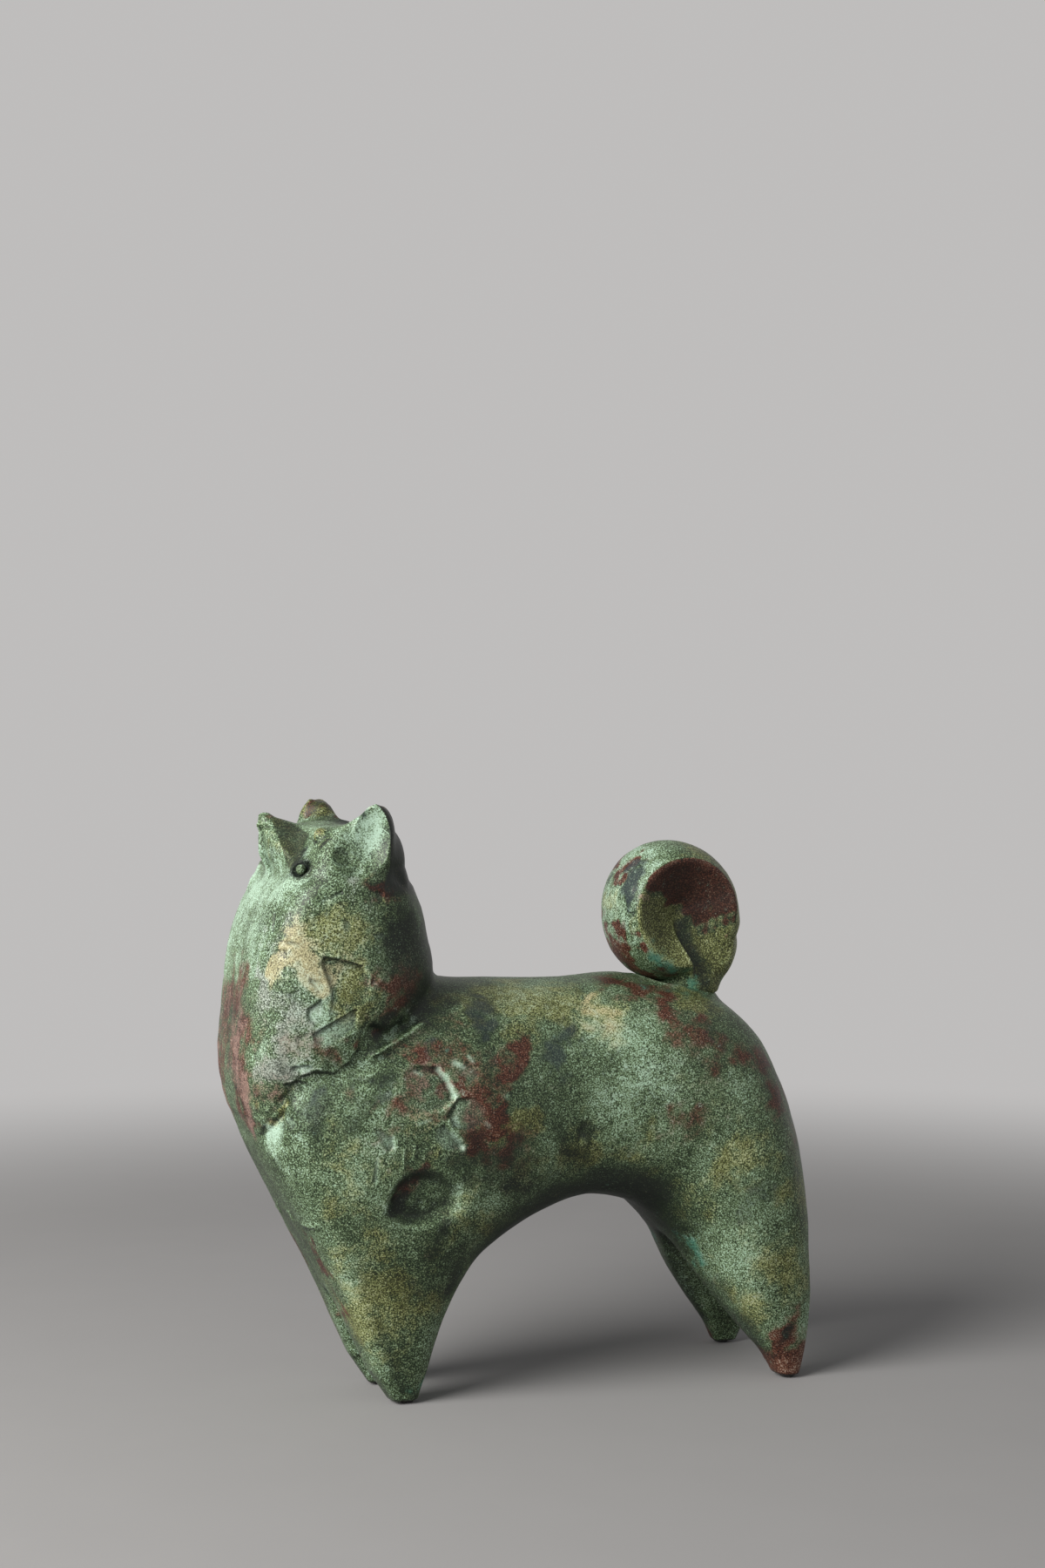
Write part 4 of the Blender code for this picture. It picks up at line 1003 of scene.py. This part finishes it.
def tailFinish(points):
    laid = layPatches(points)
    sway = wander(points)
    x, y, z = points.T
    middleX, middleZ = drum["centre"]
    radius, signed, turned = tailPlaces(points)
    hollow = ramp(radius, *tail["paintedHollow"]) * (np.abs(y) < tail["paintedHalfWidth"])
    upper = ramp(sway[:, 2] - middleZ + 0.3 * (sway[:, 0] - middleX), -4, 4)
    openSide = np.maximum(hollow, ramp(signed, 0, 2) * between(turned, -30, 90))
    shade = np.exp(-((signed - 3.6) / 3.8) ** 2) * between(turned, -40, 70)
    shade = shade * ramp(radius, 1, 4) * (signed > -0.3)
    leftRim = ramp(middleX - 6 - x, 0, 6) * (1 - hollow)
    deepen(laid, "dark", 0.42 * hollow * upper, 0.62 * shade, 0.25 * ramp(146 - z, 0, 6) * (turned < 0))
    deepen(laid, "rust", hollow * upper)
    deepen(laid, "ochre", 0.85 * openSide * (1 - upper))
    laid["ochre"] *= 1 - 0.7 * shade
    deepen(laid, "ochre", 0.65 * ramp(x - middleX, -6, 8) * (1 - hollow))
    deepen(laid, "mint", 0.62 * leftRim * ramp(z, 146, 154))
    laid["smoke"] *= 1 - hollow
    for finish, reach, strength, spots in tailSpots:
        for at in spots:
            for side in (-1, 1):
                gap = ((sway - np.multiply(at, (1, -side, 1))) ** 2).sum(1)
                deepen(laid, finish, strength * np.exp(-gap / reach ** 2) * (1 - hollow))
    return laid


curl = takeNode("tail_casting", "tailCurl")
joinInto(curl, addBall("rootBoss", *tail["rootBoss"]))
runModifier(curl, "REMESH", mode="VOXEL", voxel_size=tail["voxel"])
soften(curl, tail["firstRounds"])
points = readPoints(curl)
root = block(points, **tail["rootBlock"])
writePoints(curl, rollDrum(points, root))
soften(curl, tail["rootRounds"], "root", root)
cloudBump(curl, "curlDimples", tail["dimpleSize"], tail["dimpleHeight"])
points = readPoints(curl)
points[:, 1] -= np.sign(points[:, 1]) * stepDepth(points)
writePoints(curl, points)
_, signed, turned = tailPlaces(points)
soften(curl, tail["runOutRounds"], "runOut", (signed > 1.2) & between(turned, -40, 110))
points = readPoints(curl)
storeFinish(curl, tailFinish(points), np.zeros(len(points)))
pickOnly(curl)
bpy.ops.object.shade_smooth_by_angle(angle=math.radians(body["smoothAngle"]))
print("tail carved:", len(curl.data.polygons), "faces")


# Materials.

def addNode(tree, kind, **settings):
    node = tree.nodes.new(kind)
    for key, value in settings.items():
        setattr(node, key, value)
    return node


class Wiring:
    # one line per node when a material is wired up
    def __init__(self, name):
        self.material = bpy.data.materials.new(name)
        self.material.use_nodes = True
        self.tree = self.material.node_tree
        self.shader = self.tree.nodes["Principled BSDF"]
        self.place = self.tree.nodes.new("ShaderNodeTexCoord").outputs["Object"]

    def feed(self, socket, value):
        if isinstance(value, bpy.types.NodeSocket):
            self.tree.links.new(value, socket)
        else:
            socket.default_value = value

    def feedShader(self, name, value):
        self.feed(self.shader.inputs[name], value)

    def math(self, operation, a, b=0.0, clamp=False):
        node = addNode(self.tree, "ShaderNodeMath", operation=operation, use_clamp=clamp)
        self.feed(node.inputs[0], a)
        self.feed(node.inputs[1], b)
        return node.outputs[0]

    def times(self, a, b):
        return self.math("MULTIPLY", a, b)

    def total(self, first, *others):
        value = first
        for other in others:
            value = self.math("ADD", value, other)
        return value

    def noise(self, scale, detail=2.0, rough=0.5, place=None):
        node = self.tree.nodes.new("ShaderNodeTexNoise")
        self.feed(node.inputs["Vector"], place or self.place)
        node.inputs["Scale"].default_value = scale
        node.inputs["Detail"].default_value = detail
        node.inputs["Roughness"].default_value = rough
        return node.outputs["Fac"]

    def about(self, field, push):
        # a noise swinging around 0
        return self.times(self.math("SUBTRACT", field, 0.5), push)

    def shifted(self, offset=(0, 0, 0), scale=(1, 1, 1)):
        node = self.tree.nodes.new("ShaderNodeMapping")
        self.feed(node.inputs["Vector"], self.place)
        node.inputs["Location"].default_value = offset
        node.inputs["Scale"].default_value = scale
        return node.outputs["Vector"]

    def curve(self, value, low, high, start=0.0, end=1.0):
        node = addNode(self.tree, "ShaderNodeMapRange", interpolation_type="SMOOTHSTEP")
        self.feed(node.inputs["Value"], value)
        node.inputs["From Min"].default_value = low
        node.inputs["From Max"].default_value = high
        node.inputs["To Min"].default_value = start
        node.inputs["To Max"].default_value = end
        return node.outputs["Result"]

    def blend(self, amount, under, over):
        node = addNode(self.tree, "ShaderNodeMix", data_type="RGBA")
        self.feed(node.inputs["Factor"], amount)
        for name, colour in (("A", under), ("B", over)):
            self.feed(node.inputs[name], colour if isinstance(colour, bpy.types.NodeSocket) else (*colour, 1))
        return node.outputs["Result"]

    def scale(self, value, stops):
        node = self.tree.nodes.new("ShaderNodeValToRGB")
        self.feed(node.inputs["Fac"], value)
        while len(node.color_ramp.elements) < len(stops):
            node.color_ramp.elements.new(0.5)
        for element, (at, colour) in zip(node.color_ramp.elements, stops):
            element.position = at
            element.color = (*colour, 1)
        return node.outputs["Color"]

    def stored(self, name):
        node = addNode(self.tree, "ShaderNodeAttribute", attribute_name=name)
        split = self.tree.nodes.new("ShaderNodeSeparateColor")
        self.tree.links.new(node.outputs["Color"], split.inputs["Color"])
        return split.outputs["Red"], split.outputs["Green"], split.outputs["Blue"]

    def bump(self, height, distance, strength, under=None):
        node = self.tree.nodes.new("ShaderNodeBump")
        node.inputs["Distance"].default_value = distance
        node.inputs["Strength"].default_value = strength
        self.feed(node.inputs["Height"], height)
        if under:
            self.tree.links.new(under, node.inputs["Normal"])
        return node.outputs["Normal"]


patina = {
    "green": [(0.0, (0.014, 0.024, 0.012)), (0.30, (0.060, 0.094, 0.043)), (0.50, (0.142, 0.204, 0.102)),
              (0.70, (0.27, 0.39, 0.235)), (0.94, (0.48, 0.68, 0.51))],
    "olive": [(0.0, (0.028, 0.030, 0.010)), (0.30, (0.098, 0.104, 0.030)), (0.55, (0.24, 0.26, 0.088)),
              (0.75, (0.40, 0.425, 0.18)), (0.95, (0.60, 0.62, 0.36))],
    "red": [(0.0, (0.016, 0.005, 0.004)), (0.35, (0.074, 0.016, 0.010)), (0.60, (0.135, 0.033, 0.021)),
            (0.80, (0.21, 0.084, 0.054)), (0.98, (0.37, 0.25, 0.19))],
    "chalk": [(0.0, (0.10, 0.11, 0.095)), (0.35, (0.27, 0.29, 0.26)), (0.65, (0.50, 0.515, 0.475)),
              (0.95, (0.72, 0.715, 0.72))],
    "nearBlack": (0.012, 0.017, 0.013), "teal": (0.055, 0.235, 0.165), "blush": (0.76, 0.63, 0.36),
    "pink": (0.40, 0.265, 0.215), "smoke": (0.030, 0.044, 0.050), "paleMint": (0.54, 0.74, 0.59),
    "noises": {  # scale, detail, roughness, offset
        "cloud": (26, 5, 0.6, (0, 0, 0)), "ragged": (110, 6, 0.66, (0, 0, 0)),
        "raggedTwo": (88, 6, 0.66, (0.31, 0.17, 0.05)),
        "fleck": (420, 4, 0.6, (0, 0, 0)), "grain": (2100, 2, 0.6, (0, 0, 0)),
    },
    "tone": 0.332, "toneByFinish": {"mint": 0.42, "pale": 0.28, "dark": -0.3, "smoke": -0.12, "wear": 0.24},
    "toneByNoise": {"cloud": 1.05, "ragged": 0.5, "fleck": 0.32, "grain": 3.0},
    "torn": (0.26, 0.80), "tornByFleck": 0.8, "tornByGrain": 1.0,
    "layers": [  # finish, the noise that eats its edge, how far, cover and its change with the tone, colour
        ("ochre", "raggedTwo", 1.7, 0.85, 0, "olive"),
        ("chalk", "ragged", 1.2, 0.6, 0, "chalk"),
        ("rust", "ragged", 1.6, 0.92, 0, "red"),
        ("pink", "raggedTwo", 1.2, 0.35, 0.6, "pink"),
        ("smoke", "raggedTwo", 1.7, 0.7, 0, "smoke"),
        # dark patina and painted shade
        ("dark", "cloud", 0.9, 1.05, -0.6, "nearBlack"),
        ("teal", "ragged", 1.7, 0.75, 0, "teal"),
        ("blush", "raggedTwo", 0.9, 0.22, 0.55, "blush"),
        # mint patina and painted highlights
        ("mint", "fleck", 1.2, 0, 0.5, "paleMint"),
    ],
    "paleCover": (0.15, 0.4), "hollowCover": 0.42,
    "rough": 0.46, "roughByCloud": 0.3, "roughByGrain": 0.25, "specular": 0.32,
    "pits": (0.00016, 0.5), "flecks": (0.0003, 0.35),
}


def makePatina(name):
    wires = Wiring(name)
    finish = {}
    for layer, finishes in finishGroups.items():
        finish.update(zip(finishes, wires.stored(layer)))
    field = {}
    for key, (scale, detail, rough, offset) in patina["noises"].items():
        field[key] = wires.noise(scale, detail, rough, wires.shifted(offset) if any(offset) else None)
    byFinish = [wires.times(finish[key], share) for key, share in patina["toneByFinish"].items()]
    byNoise = [wires.about(field[key], push) for key, push in patina["toneByNoise"].items()]
    tone = wires.total(patina["tone"], *byFinish, *byNoise)
    speckle = wires.total(wires.about(field["fleck"], patina["tornByFleck"]),
                          wires.about(field["grain"], patina["tornByGrain"]))

    def coverByTone(start, change):
        return wires.math("ADD", start, wires.times(tone, change), change < 0) if change else start

    colour = wires.scale(tone, patina["green"])
    for key, noise, push, start, change, shade in patina["layers"]:
        edge = wires.total(finish[key], wires.about(field[noise], push), speckle)
        torn = wires.curve(edge, *patina["torn"])
        over = patina[shade]
        if isinstance(over, list):
            over = wires.scale(tone, over)
        colour = wires.blend(wires.times(torn, coverByTone(start, change)), colour, over)
    # the pale layer: pale chips on the flakes, with painted highlights on lit flake edges and inside the near
    # ear
    chipsAndHighlights = wires.times(finish["pale"], coverByTone(*patina["paleCover"]))
    colour = wires.blend(chipsAndHighlights, colour, patina["paleMint"])
    colour = wires.blend(wires.times(finish["hollow"], patina["hollowCover"]), colour, patina["nearBlack"])
    wires.feedShader("Base Color", colour)
    rough = wires.total(patina["rough"], wires.about(field["cloud"], patina["roughByCloud"]),
                        wires.about(field["grain"], patina["roughByGrain"]))
    wires.feedShader("Roughness", rough)
    wires.feedShader("Specular IOR Level", patina["specular"])
    pits = wires.bump(field["grain"], *patina["pits"])
    wires.feedShader("Normal", wires.bump(field["fleck"], *patina["flecks"], pits))
    return wires.material


steel = {  # fine lines along the shanks, and darker stains
    "lines": (900, 3, 0.6), "lineStretch": (1, 0.15, 1), "lineRange": (0.3, 0.7), "lineBump": (0.00005, 0.4),
    "stain": (260, 4, 0.6), "stainRange": (0.4, 0.7), "stainShade": 0.45,
    "screwTint": (0.30, 0.29, 0.27), "screwRough": (0.32, 0.55),
    "pinTint": (0.52, 0.52, 0.51), "pinRough": (0.22, 0.4),
}


def makeSteel(name, tint, rough):
    wires = Wiring(name)
    lines = wires.noise(*steel["lines"], wires.shifted(scale=steel["lineStretch"]))
    stained = wires.curve(wires.noise(*steel["stain"]), *steel["stainRange"])
    shade = tuple(channel * steel["stainShade"] for channel in tint)
    wires.feedShader("Base Color", wires.blend(stained, tint, shade))
    wires.feedShader("Roughness", wires.curve(lines, *steel["lineRange"], *rough))
    wires.feedShader("Metallic", 1.0)
    wires.feedShader("Normal", wires.bump(lines, *steel["lineBump"]))
    return wires.material


rubber = {
    "black": (0.016, 0.016, 0.016), "dustTint": (0.06, 0.058, 0.053),
    "dust": (350, 3, 0.6), "dustRange": (0.4, 0.75),
    "pores": (1800, 3, 0.6), "poreRange": (0.3, 0.7), "rough": (0.62, 0.85), "poreBump": (0.00006, 0.5),
}


def makeRubber(name):
    wires = Wiring(name)
    pores = wires.noise(*rubber["pores"])
    dusty = wires.curve(wires.noise(*rubber["dust"]), *rubber["dustRange"])
    wires.feedShader("Base Color", wires.blend(dusty, rubber["black"], rubber["dustTint"]))
    wires.feedShader("Roughness", wires.curve(pores, *rubber["poreRange"], *rubber["rough"]))
    wires.feedShader("Normal", wires.bump(pores, *rubber["poreBump"]))
    return wires.material


# patina with painted shade and painted highlights
verdigris = makePatina("verdigrisPatinaAndPaintedLight")
for piece, node, slotName in ((leftSkin, "left_body_casting", "left_body_iron"),
                              (rightSkin, "right_body_casting", "right_body_iron"),
                              (curl, "tail_casting", "tail_iron")):
    piece.data.materials.clear()
    piece.data.materials.append(verdigris)
    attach(piece, "root")
    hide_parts(node)

pinSteel = makeSteel("groundPinSteel", steel["pinTint"], steel["pinRough"])
hardware = {  # by the last word of the node's name
    "screw": makeSteel("darkScrewSteel", steel["screwTint"], steel["screwRough"]),
    "dowel": pinSteel, "pin": pinSteel,
    "disc": makeRubber("softRubber"),
}
for nodeName, node in frame["nodes"].items():
    word = nodeName.split("_")[-1]
    if word in hardware:
        node.data.materials.clear()
        node.data.materials.append(hardware[word])
print("materials done")


# Floor, light and camera.

studio = {
    "floorTone": (0.40, 0.39, 0.385), "floorRadius": 4.0, "floorDrop": 0.0002,
    "wallTone": (0.52, 0.51, 0.505), "wallFrom": (0.32, 0.85),
    "ambientTone": (0.97, 0.98, 1.0), "ambient": 0.20, "aim": (0, 0, 0.10),
}
lamps = {  # way from the dog, distance, size, power, tint
    "windowLight": ((-0.92, -0.36, 0.52), 1.25, 0.85, 20.5, (1.0, 0.99, 0.97)),
    "fillLight": ((0.55, -0.85, 0.35), 1.6, 1.2, 0.6, (0.97, 0.98, 1.0)),
}


def makeFloor(name):
    # paper that turns into the wall's tone far from the piece
    wires = Wiring(name)
    reach = addNode(wires.tree, "ShaderNodeVectorMath", operation="LENGTH")
    wires.feed(reach.inputs[0], wires.place)
    darker = tuple(channel * 0.96 for channel in studio["floorTone"])
    wires.feedShader("Base Color", wires.blend(wires.noise(30, 3), studio["floorTone"], darker))
    wires.feedShader("Roughness", 0.9)
    wires.feedShader("Specular IOR Level", 0.2)
    glow = wires.tree.nodes.new("ShaderNodeEmission")
    glow.inputs["Color"].default_value = (*studio["wallTone"], 1)
    mixed = wires.tree.nodes.new("ShaderNodeMixShader")
    wires.feed(mixed.inputs["Fac"], wires.curve(reach.outputs["Value"], *studio["wallFrom"]))
    wires.feed(mixed.inputs[1], wires.shader.outputs["BSDF"])
    wires.feed(mixed.inputs[2], glow.outputs["Emission"])
    wires.feed(wires.tree.nodes["Material Output"].inputs["Surface"], mixed.outputs["Shader"])
    return wires.material


def lightWorld(name):
    # soft light all round; the camera and reflections see the wall's tone
    world = bpy.data.worlds.new(name)
    world.use_nodes = True
    tree = world.node_tree
    tree.nodes.clear()
    rays = tree.nodes.new("ShaderNodeLightPath")
    seen = addNode(tree, "ShaderNodeMath", operation="MAXIMUM")
    either = tree.nodes.new("ShaderNodeMixShader")
    out = tree.nodes.new("ShaderNodeOutputWorld")
    soft = (studio["ambientTone"], studio["ambient"], 1)
    wall = (studio["wallTone"], 1.0, 2)
    for tone, strength, place in (soft, wall):
        light = tree.nodes.new("ShaderNodeBackground")
        light.inputs["Color"].default_value = (*tone, 1)
        light.inputs["Strength"].default_value = strength
        tree.links.new(light.outputs["Background"], either.inputs[place])
    tree.links.new(rays.outputs["Is Camera Ray"], seen.inputs[0])
    tree.links.new(rays.outputs["Is Glossy Ray"], seen.inputs[1])
    tree.links.new(seen.outputs[0], either.inputs["Fac"])
    tree.links.new(either.outputs["Shader"], out.inputs["Surface"])
    return world


def addLamp(name, direction, distance, size, power, tint):
    way = np.array(direction) / np.linalg.norm(direction)
    bpy.ops.object.light_add(type="AREA", location=np.array(studio["aim"]) + way * distance)
    lamp = lastAdded()
    lamp.name = name
    lamp.data.shape = "DISK"
    lamp.data.size = size
    lamp.data.energy = power
    lamp.data.color = tint
    lamp.rotation_euler = (math.acos(way[2]), 0, math.atan2(way[0], -way[1]))


bpy.ops.object.select_all(action="DESELECT")
bpy.ops.mesh.primitive_circle_add(vertices=96, radius=studio["floorRadius"], fill_type="NGON",
                                  location=(0, 0, -studio["floorDrop"]))
floor = lastAdded()
floor.name = "studioFloor"
floor.data.materials.append(makeFloor("paperFloor"))
bpy.context.scene.world = lightWorld("studioWorld")
for lampName, settings in lamps.items():
    addLamp(lampName, *settings)

cameraTurn = (math.radians(90), 0, math.radians(viewpoint["turn"]))
bpy.ops.object.camera_add(location=np.divide(viewpoint["at"], 1000), rotation=cameraTurn)
camera = lastAdded()
camera.data.lens = viewpoint["lens"]
camera.data.sensor_width = viewpoint["sensor"]
camera.data.dof.use_dof = False
bpy.context.scene.camera = camera
bpy.context.scene.view_settings.view_transform = "Standard"
print("studio set")
